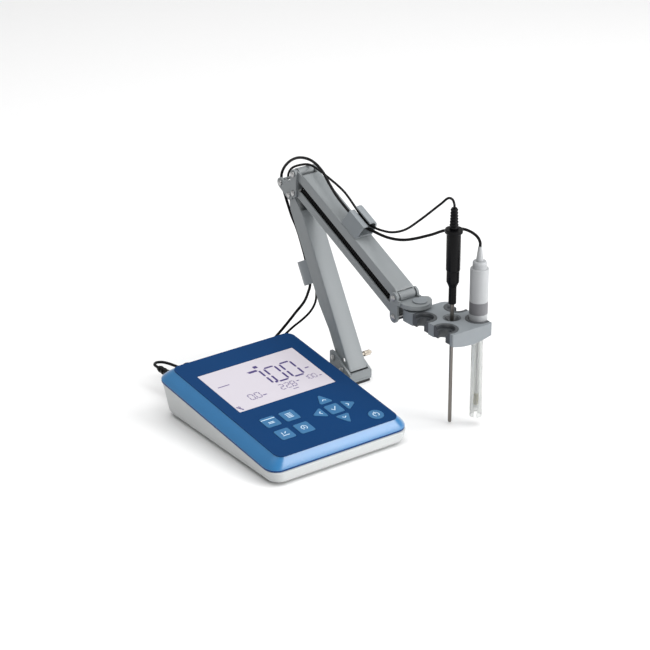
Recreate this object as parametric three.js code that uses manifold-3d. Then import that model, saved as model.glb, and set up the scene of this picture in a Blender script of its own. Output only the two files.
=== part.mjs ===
// A bench ph meter with a two-stage parallelogram electrode arm, a ph electrode and a temperature probe.
// Millimetres; x to the user's right, y to the rear, z up. The origin is the middle of the meter's underside.
import * as THREE from 'three';
import { mergeVertices } from 'three/addons/utils/BufferGeometryUtils.js';
import { ConvexGeometry } from 'three/addons/geometries/ConvexGeometry.js';
import Module from 'manifold-3d';

const wasm = await Module();
wasm.setup();

// Driving dimensions of the meter
const gap = 0.3;
const width = 170;
const depth = 204;
const cornerRadius = 14;
const deckTilt = THREE.MathUtils.degToRad(7.41);
const seamFront = 12.2;
const coverHeight = 14.4;
const wall = 2.2;
const footHeight = 2;
const socketHeight = 18;

// Driving dimensions of the arm: pivots as (y, z) pairs
const armX = 126;
const sheet = 1.6;
const channelHalf = 11.25;
const linkHalf = 9.25;
const cheekInner = channelHalf + 0.4;
const cheekOuter = cheekInner + 2.5;
const pinRadius = 2;
const pinHole = pinRadius + gap;
const baseFront = [50.4, 12.5];
const baseRear = [65.6, 21.3];
const lowerLength = 191.5;
const lowerLean = THREE.MathUtils.degToRad(29.12);
const upperTop = [136, 205];
const pivotRise = 21;
const upperBottom = [upperTop[0], upperTop[1] - pivotRise];
const upperLength = 189.3;
const upperDrop = THREE.MathUtils.degToRad(24.97);
const elbowFront = alongLowerArm(lowerLength, 0, baseFront);
const elbowRear = alongLowerArm(lowerLength, 0, baseRear);
const knuckleTop = alongUpperArm(upperLength, 0);
const knuckleBottom = [knuckleTop[0], knuckleTop[1] - pivotRise];

// Driving dimensions of the holder and the probes
const holderTop = 115.2;
const holderX = 142;
const hub = [armX + 7, knuckleTop[0] - 16];
const placeX = [121, 163];
const placeY = [-107.3, -73.5];
const placeRadius = 13.3;
const boreX = 143;
const boreY = -90.5;
const phCableRadius = 2;
const temperatureCableRadius = 1.5;

const root = new THREE.Group();
root.name = 'ph_meter';
const deck = new THREE.Group();
deck.name = 'deck';
deck.rotation.x = deckTilt;
deck.position.z = seamHeight(0) + coverHeight / Math.cos(deckTilt);
root.add(deck);

// Height of the seam between case and cover at a given y
function seamHeight(y) {
  return seamFront + Math.tan(deckTilt) * (y + depth / 2);
}

// (y, z) of a point s along the lower arm and n behind it, from a pivot
function alongLowerArm(s, n, pivot = baseRear) {
  const sine = Math.sin(lowerLean);
  const cosine = Math.cos(lowerLean);
  return [pivot[0] + s * sine + n * cosine, pivot[1] + s * cosine - n * sine];
}

// (y, z) of a point s along the upper arm and n above it
function alongUpperArm(s, n) {
  const sine = Math.sin(upperDrop);
  const cosine = Math.cos(upperDrop);
  return [upperTop[0] - s * cosine - n * sine, upperTop[1] - s * sine + n * cosine];
}

function toSolid(geometry) {
  const plain = geometry.clone();
  plain.deleteAttribute('normal');
  plain.deleteAttribute('uv');
  const welded = mergeVertices(plain, 1e-4);
  return new wasm.Manifold(new wasm.Mesh({
    numProp: 3,
    vertProperties: new Float32Array(welded.attributes.position.array),
    triVerts: new Uint32Array(welded.index.array),
  }));
}

function toGeometry(solid) {
  const mesh = solid.getMesh();
  const geometry = new THREE.BufferGeometry();
  geometry.setAttribute('position', new THREE.BufferAttribute(mesh.vertProperties, 3));
  geometry.setIndex(new THREE.BufferAttribute(mesh.triVerts, 1));
  geometry.computeVertexNormals();
  return geometry;
}

function join(first, ...others) {
  return others.reduce((whole, part) => whole.add(toSolid(part)), toSolid(first));
}

function cut(solid, ...tools) {
  return tools.reduce((rest, tool) => rest.subtract(toSolid(tool)), solid);
}

function box(x0, x1, y0, y1, z0, z1) {
  const geometry = new THREE.BoxGeometry(x1 - x0, y1 - y0, z1 - z0);
  return geometry.translate((x0 + x1) / 2, (y0 + y1) / 2, (z0 + z1) / 2);
}

function rodX(radius, x0, x1, y, z, sides = 12) {
  const geometry = new THREE.CylinderGeometry(radius, radius, x1 - x0, sides);
  return geometry.rotateZ(-Math.PI / 2).translate((x0 + x1) / 2, y, z);
}

function rodY(radius, y0, y1, x, z, sides = 16) {
  const geometry = new THREE.CylinderGeometry(radius, radius, y1 - y0, sides);
  return geometry.translate(x, (y0 + y1) / 2, z);
}

function rodZ(radius, z0, z1, x, y, sides = 20) {
  const geometry = new THREE.CylinderGeometry(radius, radius, z1 - z0, sides);
  return geometry.rotateX(Math.PI / 2).translate(x, y, (z0 + z1) / 2);
}

// A plan outline extruded upwards
function slab(shape, z0, z1, curveSegments = 4) {
  const geometry = new THREE.ExtrudeGeometry(shape, { depth: z1 - z0, bevelEnabled: false, curveSegments });
  return geometry.translate(0, 0, z0);
}

// A side outline in (y, z) extruded along x
function sidePlate(shape, x0, x1, curveSegments = 5) {
  const axes = new THREE.Matrix4().makeBasis(
    new THREE.Vector3(0, 1, 0),
    new THREE.Vector3(0, 0, 1),
    new THREE.Vector3(1, 0, 0),
  );
  return slab(shape, x0, x1, curveSegments).applyMatrix4(axes);
}

// A section in (x, z) extruded along y
function sectionBar(shape, y0, y1, curveSegments = 5) {
  const axes = new THREE.Matrix4().makeBasis(
    new THREE.Vector3(1, 0, 0),
    new THREE.Vector3(0, 0, 1),
    new THREE.Vector3(0, -1, 0),
  );
  return slab(shape, -y1, -y0, curveSegments).applyMatrix4(axes);
}

// A profile of [radius, height] pairs turned about the vertical
function turned(profile, sides = 20) {
  const points = profile.map(([radius, height]) => new THREE.Vector2(radius, height));
  return new THREE.LatheGeometry(points, sides).rotateX(Math.PI / 2);
}

function polygon(points) {
  return new THREE.Shape(points.map(([x, y]) => new THREE.Vector2(x, y)));
}

function roundedShape(x0, x1, y0, y1, radius) {
  const shape = new THREE.Shape();
  shape.absarc(x1 - radius, y0 + radius, radius, -Math.PI / 2, 0);
  shape.absarc(x1 - radius, y1 - radius, radius, 0, Math.PI / 2);
  shape.absarc(x0 + radius, y1 - radius, radius, Math.PI / 2, Math.PI);
  shape.absarc(x0 + radius, y0 + radius, radius, Math.PI, 1.5 * Math.PI);
  shape.closePath();
  return shape;
}

// A straight bar outline with round ends centred on a and b
function capsule(a, b, radius) {
  const angle = Math.atan2(b[1] - a[1], b[0] - a[0]);
  const shape = new THREE.Shape();
  shape.absarc(a[0], a[1], radius, angle + Math.PI / 2, angle + 1.5 * Math.PI);
  shape.absarc(b[0], b[1], radius, angle - Math.PI / 2, angle + Math.PI / 2);
  shape.closePath();
  return shape;
}

function addMesh(parent, name, shape, { color, roughness = 0.6, metalness = 0 }) {
  const geometry = shape.isBufferGeometry ? shape : toGeometry(shape);
  const mesh = new THREE.Mesh(geometry, new THREE.MeshStandardMaterial({ color, roughness, metalness }));
  mesh.name = name;
  parent.add(mesh);
  return mesh;
}

const finish = {
  palePlastic: { color: 0xbebebc, roughness: 0.55 },
  bluePlastic: { color: 0x4691c8, roughness: 0.45 },
  label: { color: 0x144178, roughness: 0.35 },
  keycap: { color: 0x559bcd, roughness: 0.45 },
  display: { color: 0xe8e4ea, roughness: 0.2 },
  board: { color: 0x1f5a3a, roughness: 0.6 },
  blackPlastic: { color: 0x1a1a1c, roughness: 0.5 },
  rubber: { color: 0x222224, roughness: 0.85 },
  greyPaint: { color: 0x969e9b, roughness: 0.5 },
  greyPlastic: { color: 0x8c9398, roughness: 0.5 },
  steel: { color: 0xc0c2c4, roughness: 0.3, metalness: 1 },
  glass: { color: 0xb8c4c8, roughness: 0.1 },
};

// ---------- meter body ----------

// Points of one rounded outline, inset from the full plan, at a height that depends on y
function outlineRing(inset, height) {
  const halfWidth = width / 2 - inset.side;
  const shape = roundedShape(
    -halfWidth,
    halfWidth,
    -depth / 2 + inset.front,
    depth / 2 - inset.rear,
    cornerRadius - inset.side / 2,
  );
  return shape.getPoints(3).map((point) => new THREE.Vector3(point.x, point.y, height(point.y)));
}

function even(inset) {
  return { side: inset, front: inset, rear: inset };
}

function hull(rings) {
  return toSolid(new ConvexGeometry(rings.flat()));
}

// The foot plate of the arm lies in a pocket under the case
const footPlate = { x0: 30, x1: armX + cheekOuter, y0: 36, y1: 71, z0: 1, z1: 3 };
const feet = [[-66, -82], [66, -82], [-66, 82], [66, 82]];
const sockets = [
  { name: 'ph_socket', x: -46, flange: 8.2, body: 6, bore: 4.4, reach: 8 },
  { name: 'temperature_socket', x: -24, flange: 6.4, body: 4.6, bore: 3.2, reach: 7 },
  { name: 'power_socket', x: 34, flange: 7, body: 5.6, bore: 3.4, reach: 3 },
];

function lowerCase() {
  const outer = hull([
    outlineRing({ side: 5.2, front: 6.6, rear: 5.2 }, () => 0),
    outlineRing({ side: 2.2, front: 2.8, rear: 2.2 }, () => 2.4),
    outlineRing(even(0.9), () => 6),
    outlineRing(even(0.6), seamHeight),
  ]);
  const inner = hull([
    outlineRing(even(8), () => 2.6),
    outlineRing(even(0.9 + wall), () => 6.4),
    outlineRing(even(0.6 + wall), (y) => seamHeight(y) + 1),
  ]);
  const raised = box(footPlate.x0 - 4, 83, footPlate.y0 - 4, footPlate.y1 + 4, 2, footPlate.z1 + 2.5);
  let body = outer.subtract(inner).add(toSolid(raised));
  const pocket = box(
    footPlate.x0 - gap,
    width,
    footPlate.y0 - gap,
    footPlate.y1 + gap,
    -1,
    footPlate.z1 + gap,
  );
  body = cut(body, pocket, ...feet.map(([x, y]) => rodZ(6 + gap, -1, 1, x, y)));
  return cut(body, ...sockets.map((socket) => rodY(socket.body + gap, 90, 110, socket.x, socketHeight)));
}

// Openings of the label and the cover, in the deck's own plane
const lcd = { x0: -60.6, x1: 57.8, y0: -11.8, y1: 64.7 };
const labelOutline = { x0: -74.3, x1: 74.3, y0: -97.4, y1: 91.8 };
const enterKey = [25.6, -52.3];
const arrowReach = 12.4;

function triangleShape(half, height, radius) {
  const slope = Math.atan2(height, half);
  const inward = radius / Math.tan(slope / 2);
  const shape = new THREE.Shape();
  shape.absarc(half - inward, radius, radius, -Math.PI / 2, Math.PI / 2 - slope);
  shape.absarc(0, height - radius / Math.cos(slope), radius, Math.PI / 2 - slope, Math.PI / 2 + slope);
  shape.absarc(inward - half, radius, radius, Math.PI / 2 + slope, 1.5 * Math.PI);
  shape.closePath();
  return shape;
}

function squareShape(half, radius) {
  return roundedShape(-half, half, -half, half, radius);
}

function roundShape(radius) {
  const shape = new THREE.Shape();
  shape.absarc(0, 0, radius, 0, 2 * Math.PI);
  return shape;
}

function functionKey(name, x, y) {
  return { name, x, y, turn: 0, outline: (grow) => squareShape(8.5 + grow, 4 + grow) };
}

// The apex of an arrow key points along its turn, measured from straight up the deck
function arrowKey(name, turn, half, height) {
  return {
    name,
    x: enterKey[0] - arrowReach * Math.sin(turn),
    y: enterKey[1] + arrowReach * Math.cos(turn),
    turn,
    outline: (grow) => triangleShape(half + 1.6 * grow, height + 2.6 * grow, 1.6 + grow),
    rise: 1,
  };
}

const keys = [
  functionKey('function_key_left_upper', -44, -40.5),
  functionKey('function_key_right_upper', -20.8, -40.5),
  functionKey('function_key_left_lower', -44, -65.4),
  functionKey('function_key_right_lower', -20.8, -65.4),
  arrowKey('arrow_key_up', 0, 8.4, 16.5),
  arrowKey('arrow_key_down', Math.PI, 8.4, 16.3),
  arrowKey('arrow_key_left', Math.PI / 2, 9.1, 14),
  arrowKey('arrow_key_right', -Math.PI / 2, 9.1, 13.6),
  { name: 'enter_key', x: enterKey[0], y: enterKey[1], turn: 0, outline: (grow) => squareShape(8 + grow, 2 + grow) },
  { name: 'power_key', x: 56, y: -81.5, turn: 0, outline: (grow) => roundShape(8 + grow), steps: 20 },
];

// Outline of a key, grown evenly on every side and placed on the deck
function keyPoints(key, grow) {
  const shift = key.rise ? -grow : 0;
  return key.outline(grow).getPoints(key.steps ?? 3).map((point) => {
    const y = point.y + shift;
    return [
      key.x + point.x * Math.cos(key.turn) - y * Math.sin(key.turn),
      key.y + point.x * Math.sin(key.turn) + y * Math.cos(key.turn),
    ];
  });
}

// The bevel: the inset grows from the lip to the label along a gently rounded curve
function coverInset(share, shrink) {
  const grown = 0.65 * share + 0.35 * (1 - Math.cos(share * Math.PI / 2));
  return { side: 10.7 * grown + shrink, front: 5.6 * grown + shrink, rear: 10.2 * grown + shrink };
}

function coverHull(bottom, top, shrink) {
  const shares = [0, 0, 1 / 3, 2 / 3, 1];
  const heights = [bottom, -coverHeight + 2.4, -8.4, -4.6, top];
  return hull(shares.map((share, index) => outlineRing(coverInset(share, shrink), () => heights[index])));
}

function upperCover() {
  const shell = coverHull(-coverHeight + gap, -0.9, 0).subtract(coverHull(-coverHeight - 1, -0.9 - wall, wall));
  const window = slab(roundedShape(lcd.x0 + 2, lcd.x1 - 2, lcd.y0 + 2, lcd.y1 - 2, 1), -9, 1);
  return cut(shell, window, ...keys.map((key) => slab(polygon(keyPoints(key, gap)), -9, 1)));
}

function labelPanel() {
  const { x0, x1, y0, y1 } = labelOutline;
  const shape = roundedShape(x0, x1, y0, y1, 9);
  const window = roundedShape(lcd.x0 - gap, lcd.x1 + gap, lcd.y0 - gap, lcd.y1 + gap, 1);
  shape.holes = [window, ...keys.map((key) => polygon(keyPoints(key, gap)))];
  return slab(shape, -0.6, 0);
}

function keyCap(key) {
  return join(
    slab(polygon(keyPoints(key, 0)), -4.6, 0.6),
    slab(polygon(keyPoints(key, 1)), -4.6, -3.4),
  );
}

function foot() {
  return turned([[0, -footHeight], [5.4, -footHeight], [6, -footHeight + 0.6], [6, 0.7], [0, 0.7]]);
}

// A rear socket: flange outside, nut inside, a bore with a contact pin at its bottom
function rearSocket({ x, flange, body, bore, reach }) {
  const face = depth / 2 - 0.3;
  const end = face + 1.8 + reach;
  const shell = join(
    rodY(body, 92, end, x, socketHeight),
    rodY(flange, face, face + 1.8, x, socketHeight),
    rodY(flange - 0.6, 95, 98.4, x, socketHeight),
  );
  const hollow = cut(shell, rodY(bore, end - 9, end + 1, x, socketHeight));
  return hollow.add(toSolid(rodY(0.9, end - 9.5, end - 5, x, socketHeight, 12)));
}

addMesh(root, 'lower_case', lowerCase(), finish.palePlastic);
addMesh(deck, 'upper_cover', upperCover(), finish.bluePlastic);
addMesh(deck, 'label_panel', labelPanel(), finish.label);
addMesh(deck, 'lcd_window', slab(roundedShape(lcd.x0, lcd.x1, lcd.y0, lcd.y1, 0.8), -0.6, -0.1), finish.display);
addMesh(deck, 'lcd_module', box(lcd.x0 + 3, lcd.x1 - 3, lcd.y0 + 3, lcd.y1 - 3, -7.2, -1.2), finish.display);
addMesh(deck, 'keypad_mat', slab(roundedShape(-58, 68, -92, -28, 4), -7.2, -5.8), finish.rubber);
addMesh(deck, 'main_board', slab(roundedShape(-70, 70, -93, 84, 3), -9.1, -7.5), finish.board);
for (const key of keys) {
  addMesh(deck, key.name, keyCap(key), finish.keycap);
}
feet.forEach(([x, y], index) => {
  addMesh(root, `foot_${index + 1}`, foot(), finish.rubber).position.set(x, y, 0);
});
for (const socket of sockets) {
  addMesh(root, socket.name, rearSocket(socket), finish.blackPlastic);
}

// ---------- base bracket of the arm ----------

// A cross pin with a head outside each cheek
function crossPin([y, z]) {
  const half = cheekOuter + gap;
  return join(
    rodX(pinRadius, -half - 1, half + 1, y, z),
    rodX(3, -half - 1.4, -half, y, z),
    rodX(3, half, half + 1.4, y, z),
  );
}

function pinHoles(...pivots) {
  return pivots.map(([y, z]) => rodX(pinHole, -30, 30, y, z));
}

// Two equal cheeks cut from a side outline
function cheeks(...shapes) {
  const plates = shapes.flatMap((shape) => [
    sidePlate(shape, cheekInner, cheekOuter),
    sidePlate(shape, -cheekOuter, -cheekInner),
  ]);
  return join(...plates);
}

function baseBracket() {
  const { y0, y1, z1 } = footPlate;
  const bottom = z1 + gap;
  const side = polygon([[y0, bottom], [y1 + 0.5, bottom], [y1 + 0.5, 28], [65, 28], [y0, 10.5]]);
  const web = box(-cheekInner, cheekInner, y0, y1 + 0.5, bottom, bottom + 2);
  const lip = box(-cheekInner, cheekInner, y0, y0 + 2, bottom, 12);
  const body = cheeks(side).add(toSolid(web)).add(toSolid(lip));
  return cut(body, ...pinHoles(baseFront, baseRear));
}

function footPad() {
  const { y0, y1, z0 } = footPlate;
  const shape = roundedShape(armX - cheekOuter, armX + cheekOuter, y0, y1, 4);
  return slab(shape, -footHeight, z0 - gap);
}

const base = new THREE.Group();
base.name = 'arm_base';
base.position.x = armX;
root.add(base);
const plate = footPlate;
addMesh(root, 'foot_plate', box(plate.x0, plate.x1, plate.y0, plate.y1, plate.z0, plate.z1), finish.greyPaint);
addMesh(root, 'foot_pad', footPad(), finish.rubber);
addMesh(base, 'base_bracket', baseBracket(), finish.greyPaint);
addMesh(base, 'base_pin_front', crossPin(baseFront), finish.steel);
addMesh(base, 'base_pin_rear', crossPin(baseRear), finish.steel);

// ---------- lower arm: z runs up the arm from its pivot, y to the rear ----------

// A folded channel: a side outline across the full width, with everything but its web removed inside
function foldedChannel(side, half, inside, holes) {
  const hollow = box(-half + sheet, half - sheet, inside[0], inside[1], inside[2], inside[3]);
  return cut(toSolid(sidePlate(side, -half, half)), hollow, ...holes.map(([y, z]) => rodX(pinHole, -30, 30, y, z)));
}

const screwSeat = [-4.7, 9.1];

function lowerChannel() {
  const side = new THREE.Shape();
  side.absarc(0, 0, 4, -Math.PI / 2, 0);
  side.lineTo(3.4, 27);
  side.lineTo(9.9, 72);
  side.lineTo(9.9, lowerLength - 14);
  side.absarc(0, lowerLength, 4, 0.3, 2.6);
  side.lineTo(-9.5, lowerLength - 28);
  side.lineTo(-9.5, -5);
  side.closePath();
  const inside = [-9.5 + sheet, 40, -40, 240];
  return foldedChannel(side, channelHalf, inside, [[0, 0], [0, lowerLength], screwSeat]);
}

function lowerLink() {
  const side = new THREE.Shape();
  side.absarc(0, 0, 4.2, -Math.PI, -0.2);
  side.lineTo(0.95, 8);
  side.lineTo(0.95, lowerLength - 8);
  side.absarc(0, lowerLength, 4.2, 0.2, Math.PI);
  side.lineTo(-6, lowerLength - 14);
  side.lineTo(-6, 14);
  side.closePath();
  const inside = [-40, -0.65, -40, 240];
  const lugs = [box(-7.6, 7.6, -40, 40, -40, 8), box(-7.6, 7.6, -40, 40, lowerLength - 8, 240)];
  return cut(foldedChannel(side, linkHalf, inside, [[0, 0], [0, lowerLength]]), ...lugs);
}

// The knurled tension screw crosses the right flange just above the front pivot
function tensionScrew() {
  const [y, z] = screwSeat;
  const knob = [];
  const ridges = 20;
  for (let step = 0; step < 2 * ridges; step += 1) {
    const angle = step * Math.PI / ridges;
    const radius = step % 2 ? 4.2 : 3.8;
    knob.push([y + radius * Math.cos(angle), z + radius * Math.sin(angle)]);
  }
  return join(
    rodX(pinRadius, 7.9, 24, y, z),
    sidePlate(polygon(knob), cheekOuter + 0.6, 25),
  );
}

// A cable clip seen along the arm: a foot, a sloping wall with a ridge, and a hook closing over it
function clipSection(foot) {
  const shape = new THREE.Shape();
  shape.moveTo(-11, foot);
  shape.lineTo(11, foot);
  shape.quadraticCurveTo(15, foot + 9, 12, foot + 15.5);
  shape.quadraticCurveTo(10, foot + 19, 5.5, foot + 19);
  shape.lineTo(2.5, foot + 18.2);
  shape.lineTo(2.5, foot + 16.6);
  shape.lineTo(6, foot + 17);
  shape.quadraticCurveTo(9, foot + 17, 10.4, foot + 14.6);
  shape.quadraticCurveTo(12.6, foot + 9, 9.6, foot + 1.8);
  shape.lineTo(-8, foot + 1.8);
  shape.lineTo(-3.4, foot + 13);
  shape.lineTo(1.4, foot + 13);
  shape.lineTo(1.4, foot + 14.8);
  shape.lineTo(-4.8, foot + 14.8);
  shape.closePath();
  return shape;
}

const clipLength = 26;
const lowerClipStart = 80.6;
const upperClipStart = 84;

function lowerClip() {
  // The arm's z is the clip's length, so the section stands on the link's rear face
  const axes = new THREE.Matrix4().makeBasis(
    new THREE.Vector3(-1, 0, 0),
    new THREE.Vector3(0, 1, 0),
    new THREE.Vector3(0, 0, -1),
  );
  const start = -lowerClipStart - clipLength;
  return slab(clipSection(0.95 + gap + 0.1), start, start + clipLength).applyMatrix4(axes);
}

function armGroup(name, [y, z], angle) {
  const group = new THREE.Group();
  group.name = name;
  group.position.set(armX, y, z);
  group.rotation.x = angle;
  root.add(group);
  return group;
}

const lowerArm = armGroup('lower_arm', baseFront, -lowerLean);
const lowerArmRear = armGroup('lower_arm_rear', baseRear, -lowerLean);
addMesh(lowerArm, 'lower_arm_channel', lowerChannel(), finish.greyPaint);
addMesh(lowerArm, 'tension_screw', tensionScrew(), finish.steel);
addMesh(lowerArmRear, 'lower_arm_link', lowerLink(), finish.greyPaint);
addMesh(lowerArmRear, 'lower_cable_clip', lowerClip(), finish.greyPlastic);

// ---------- elbow ----------

function elbowBracket() {
  const body = cheeks(capsule(elbowFront, elbowRear, 5.5), capsule(upperBottom, upperTop, 5));
  const [y, z] = elbowFront;
  const tie = box(-cheekInner - 0.5, cheekInner + 0.5, y + 0.5, y + 5.5, z + 9.5, z + 13.5);
  const ears = cheeks(polygon([[y - 5, z + 2], [y + 9, z + 6], [y + 6.5, z + 15], [y - 6, z + 15]]));
  return cut(body.add(toSolid(tie)).add(ears), ...pinHoles(elbowFront, elbowRear, upperTop, upperBottom));
}

const elbow = new THREE.Group();
elbow.name = 'elbow';
elbow.position.x = armX;
root.add(elbow);
addMesh(elbow, 'elbow_bracket', elbowBracket(), finish.greyPaint);
addMesh(elbow, 'elbow_pin_lower_front', crossPin(elbowFront), finish.steel);
addMesh(elbow, 'elbow_pin_lower_rear', crossPin(elbowRear), finish.steel);
addMesh(elbow, 'elbow_pin_upper_top', crossPin(upperTop), finish.steel);
addMesh(elbow, 'elbow_pin_upper_bottom', crossPin(upperBottom), finish.steel);

// ---------- upper arm: -y runs along the arm from its pivot ----------

function upperChannel() {
  const side = new THREE.Shape();
  side.absarc(0, 0, 4.5, -Math.PI / 2, Math.PI / 2);
  side.lineTo(-11, 7.3);
  side.lineTo(6 - upperLength, 7.3);
  side.absarc(-upperLength, 0, 4.5, Math.PI / 2, 1.5 * Math.PI);
  side.lineTo(8 - upperLength, -3.8);
  side.lineTo(-11, -3.8);
  side.closePath();
  const inside = [-240, 40, -40, 7.3 - sheet];
  return foldedChannel(side, channelHalf, inside, [[0, 0], [-upperLength, 0]]);
}

function upperLink() {
  const side = new THREE.Shape();
  side.absarc(0, 0, 4, -Math.PI / 2, Math.PI / 2);
  side.lineTo(-9, 6.5);
  side.lineTo(9 - upperLength, 6.5);
  side.absarc(-upperLength, 0, 4, Math.PI / 2, 1.5 * Math.PI);
  side.lineTo(8 - upperLength, -3);
  side.lineTo(-8, -3);
  side.closePath();
  const inside = [-240, 40, -3 + sheet, 40];
  return foldedChannel(side, channelHalf, inside, [[0, 0], [-upperLength, 0]]);
}

// A coil whose two end hooks reach up to the web of the channel
class SpringCurve extends THREE.Curve {
  constructor(radius, start, end, centre, coils) {
    super();
    Object.assign(this, { radius, start, end, centre, coils });
  }

  getPoint(share, target = new THREE.Vector3()) {
    const angle = share * this.coils * 2 * Math.PI;
    return target.set(
      this.radius * Math.sin(angle),
      this.start + share * (this.end - this.start),
      this.centre + this.radius * Math.cos(angle),
    );
  }
}

function balanceSpring() {
  const coils = 12;
  const curve = new SpringCurve(4.6, -14, 16 - upperLength, -8, coils);
  return tube(curve, 0.8, coils * 7, 5);
}

function tube(curve, radius, steps, sides) {
  const section = new THREE.Shape();
  for (let side = 0; side < sides; side += 1) {
    const angle = side * 2 * Math.PI / sides;
    const x = radius * Math.cos(angle);
    const y = radius * Math.sin(angle);
    if (side === 0) {
      section.moveTo(x, y);
    } else {
      section.lineTo(x, y);
    }
  }
  section.closePath();
  return new THREE.ExtrudeGeometry(section, { steps, extrudePath: curve, bevelEnabled: false });
}

const upperArm = armGroup('upper_arm', upperTop, upperDrop);
const upperArmLower = armGroup('upper_arm_lower', upperBottom, upperDrop);
addMesh(upperArm, 'upper_arm_channel', upperChannel(), finish.greyPaint);
addMesh(upperArm, 'balance_spring', balanceSpring(), finish.blackPlastic);
addMesh(
  upperArm,
  'upper_cable_clip',
  sectionBar(clipSection(7.3 + gap), -upperClipStart - clipLength, -upperClipStart),
  finish.greyPlastic,
);
addMesh(upperArmLower, 'upper_arm_link', upperLink(), finish.greyPaint);

// ---------- knuckle ----------

const tongueTop = knuckleTop[1] - 3.3;
const tongueBottom = tongueTop - 2;

function knuckleBracket() {
  const [y, z] = knuckleTop;
  const side = polygon([[y - 9, z - 6], [y, z - 6], [y, z - 1], [y - 9, z - 1]]);
  const body = cheeks(capsule(knuckleBottom, knuckleTop, 6), side);
  const tongue = new THREE.Shape();
  tongue.moveTo(-cheekOuter + 2.5, y - 6.6);
  tongue.lineTo(-cheekOuter + 2.5, y - 11);
  tongue.absarc(5.3, y - 11, 16.8, Math.PI, 2 * Math.PI);
  tongue.lineTo(cheekOuter, y - 6.6);
  tongue.closePath();
  const whole = body.add(toSolid(slab(tongue, tongueBottom, tongueTop, 12)));
  return cut(whole, ...pinHoles(knuckleTop, knuckleBottom), rodZ(3.5, 100, 140, hub[0] - armX, hub[1]));
}

// The swivel stud: button above the tongue, washer below it, shaft down into the holder
function swivelStud() {
  return turned([
    [0, 102],
    [3.2, 102],
    [3.2, holderTop + gap],
    [6, holderTop + gap],
    [6, tongueBottom - gap],
    [3.2, tongueBottom - gap],
    [3.2, tongueTop + gap],
    [8, tongueTop + gap],
    [8, tongueTop + 2],
    [6.8, tongueTop + 3.2],
    [0, tongueTop + 3.6],
  ]);
}

const knuckle = new THREE.Group();
knuckle.name = 'knuckle';
knuckle.position.x = armX;
root.add(knuckle);
addMesh(knuckle, 'knuckle_bracket', knuckleBracket(), finish.greyPaint);
addMesh(knuckle, 'knuckle_pin_upper', crossPin(knuckleTop), finish.steel);
addMesh(knuckle, 'knuckle_pin_lower', crossPin(knuckleBottom), finish.steel);
addMesh(root, 'swivel_stud', swivelStud(), finish.greyPlastic).position.set(hub[0], hub[1], 0);

// ---------- electrode holder ----------

const holderSide = 25.5;
const holderFront = -124;
const holderRear = -54;

// The plan: a slab for the four places, and a boss round the swivel at its left rear
function holderPlan() {
  const bossRear = hub[1] + 8.8;
  const shape = new THREE.Shape();
  shape.moveTo(holderX - holderSide, holderFront + 1);
  shape.lineTo(holderX - holderSide + 1, holderFront);
  shape.lineTo(holderX + holderSide - 1, holderFront);
  shape.lineTo(holderX + holderSide, holderFront + 1);
  shape.absarc(holderX + holderSide - 11, holderRear - 11, 11, 0, Math.PI / 2);
  shape.lineTo(hub[0] + 8.5, holderRear);
  shape.absarc(hub[0], hub[1], 8.8, -0.28, Math.PI / 2);
  shape.absarc(holderX - holderSide + 4, bossRear - 4, 4, Math.PI / 2, Math.PI);
  shape.closePath();
  return shape;
}

// The front view: a flat top, and an underside that bulges downwards in the middle
function holderFrontView() {
  const shape = new THREE.Shape();
  shape.moveTo(holderX - holderSide - 1, holderTop);
  shape.lineTo(holderX - holderSide - 1, holderTop - 12.4);
  shape.quadraticCurveTo(holderX, holderTop - 21, holderX + holderSide + 1, holderTop - 12.4);
  shape.lineTo(holderX + holderSide + 1, holderTop);
  shape.closePath();
  return shape;
}

function electrodeHolder() {
  const front = toSolid(sectionBar(holderFrontView(), holderFront - 10, hub[1] + 20, 10));
  const body = toSolid(slab(holderPlan(), 80, 140, 6)).intersect(front);
  const places = placeX.flatMap((x) => placeY.map((y) => rodZ(placeRadius, 80, 140, x, y, 32)));
  const funnel = turned([[0, 100], [2, 100], [2, holderTop - 6], [8.4, holderTop], [8.4, 120], [0, 120]]);
  const bore = rodZ(1.9, 80, 140, boreX, boreY, 12);
  const swivelBore = rodZ(3.5, 101.5, 140, hub[0], hub[1]);
  return cut(body, ...places, funnel.translate(boreX, boreY, 0), bore, swivelBore);
}

// A C-shaped rubber collar: an upper seat for a barrel and a narrower lip below it
function holderCollar(x, y) {
  const outward = Math.sign(x - holderX);
  const ring = turned([
    [6.9, 103.4],
    [placeRadius - gap, 103.4],
    [placeRadius - gap, holderTop + 0.4],
    [9.8, holderTop + 0.4],
    [9.8, 111.6],
    [6.9, 111.6],
    [6.9, 103.4],
  ]).translate(x, y, 0);
  const side = holderX + outward * (holderSide - gap);
  const outside = outward > 0 ? box(side, side + 30, y - 20, y + 20, 90, 130) : box(side - 30, side, y - 20, y + 20, 90, 130);
  return cut(toSolid(ring), outside);
}

addMesh(root, 'electrode_holder', electrodeHolder(), finish.greyPlastic);
const collarNames = { 0: 'left_front', 1: 'left_rear', 2: 'right_front', 3: 'right_rear' };
placeX.forEach((x, column) => {
  placeY.forEach((y, row) => {
    addMesh(root, `holder_collar_${collarNames[2 * column + row]}`, holderCollar(x, y), finish.rubber);
  });
});

// ---------- probes ----------

const phAxis = [placeX[1], placeY[0]];

// Radii of a ribbed sleeve that narrows upwards, as a profile from its bottom to its top
function ribbedProfile(z0, z1, radius0, radius1, ribs) {
  const points = [];
  for (let rib = 0; rib < ribs; rib += 1) {
    const low = z0 + (z1 - z0) * rib / ribs;
    const high = z0 + (z1 - z0) * (rib + 0.6) / ribs;
    const next = z0 + (z1 - z0) * (rib + 1) / ribs;
    const radius = radius0 + (radius1 - radius0) * rib / ribs;
    points.push([radius, low], [radius, high], [radius - 0.7, high], [radius - 0.7, next]);
  }
  return points;
}

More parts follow.
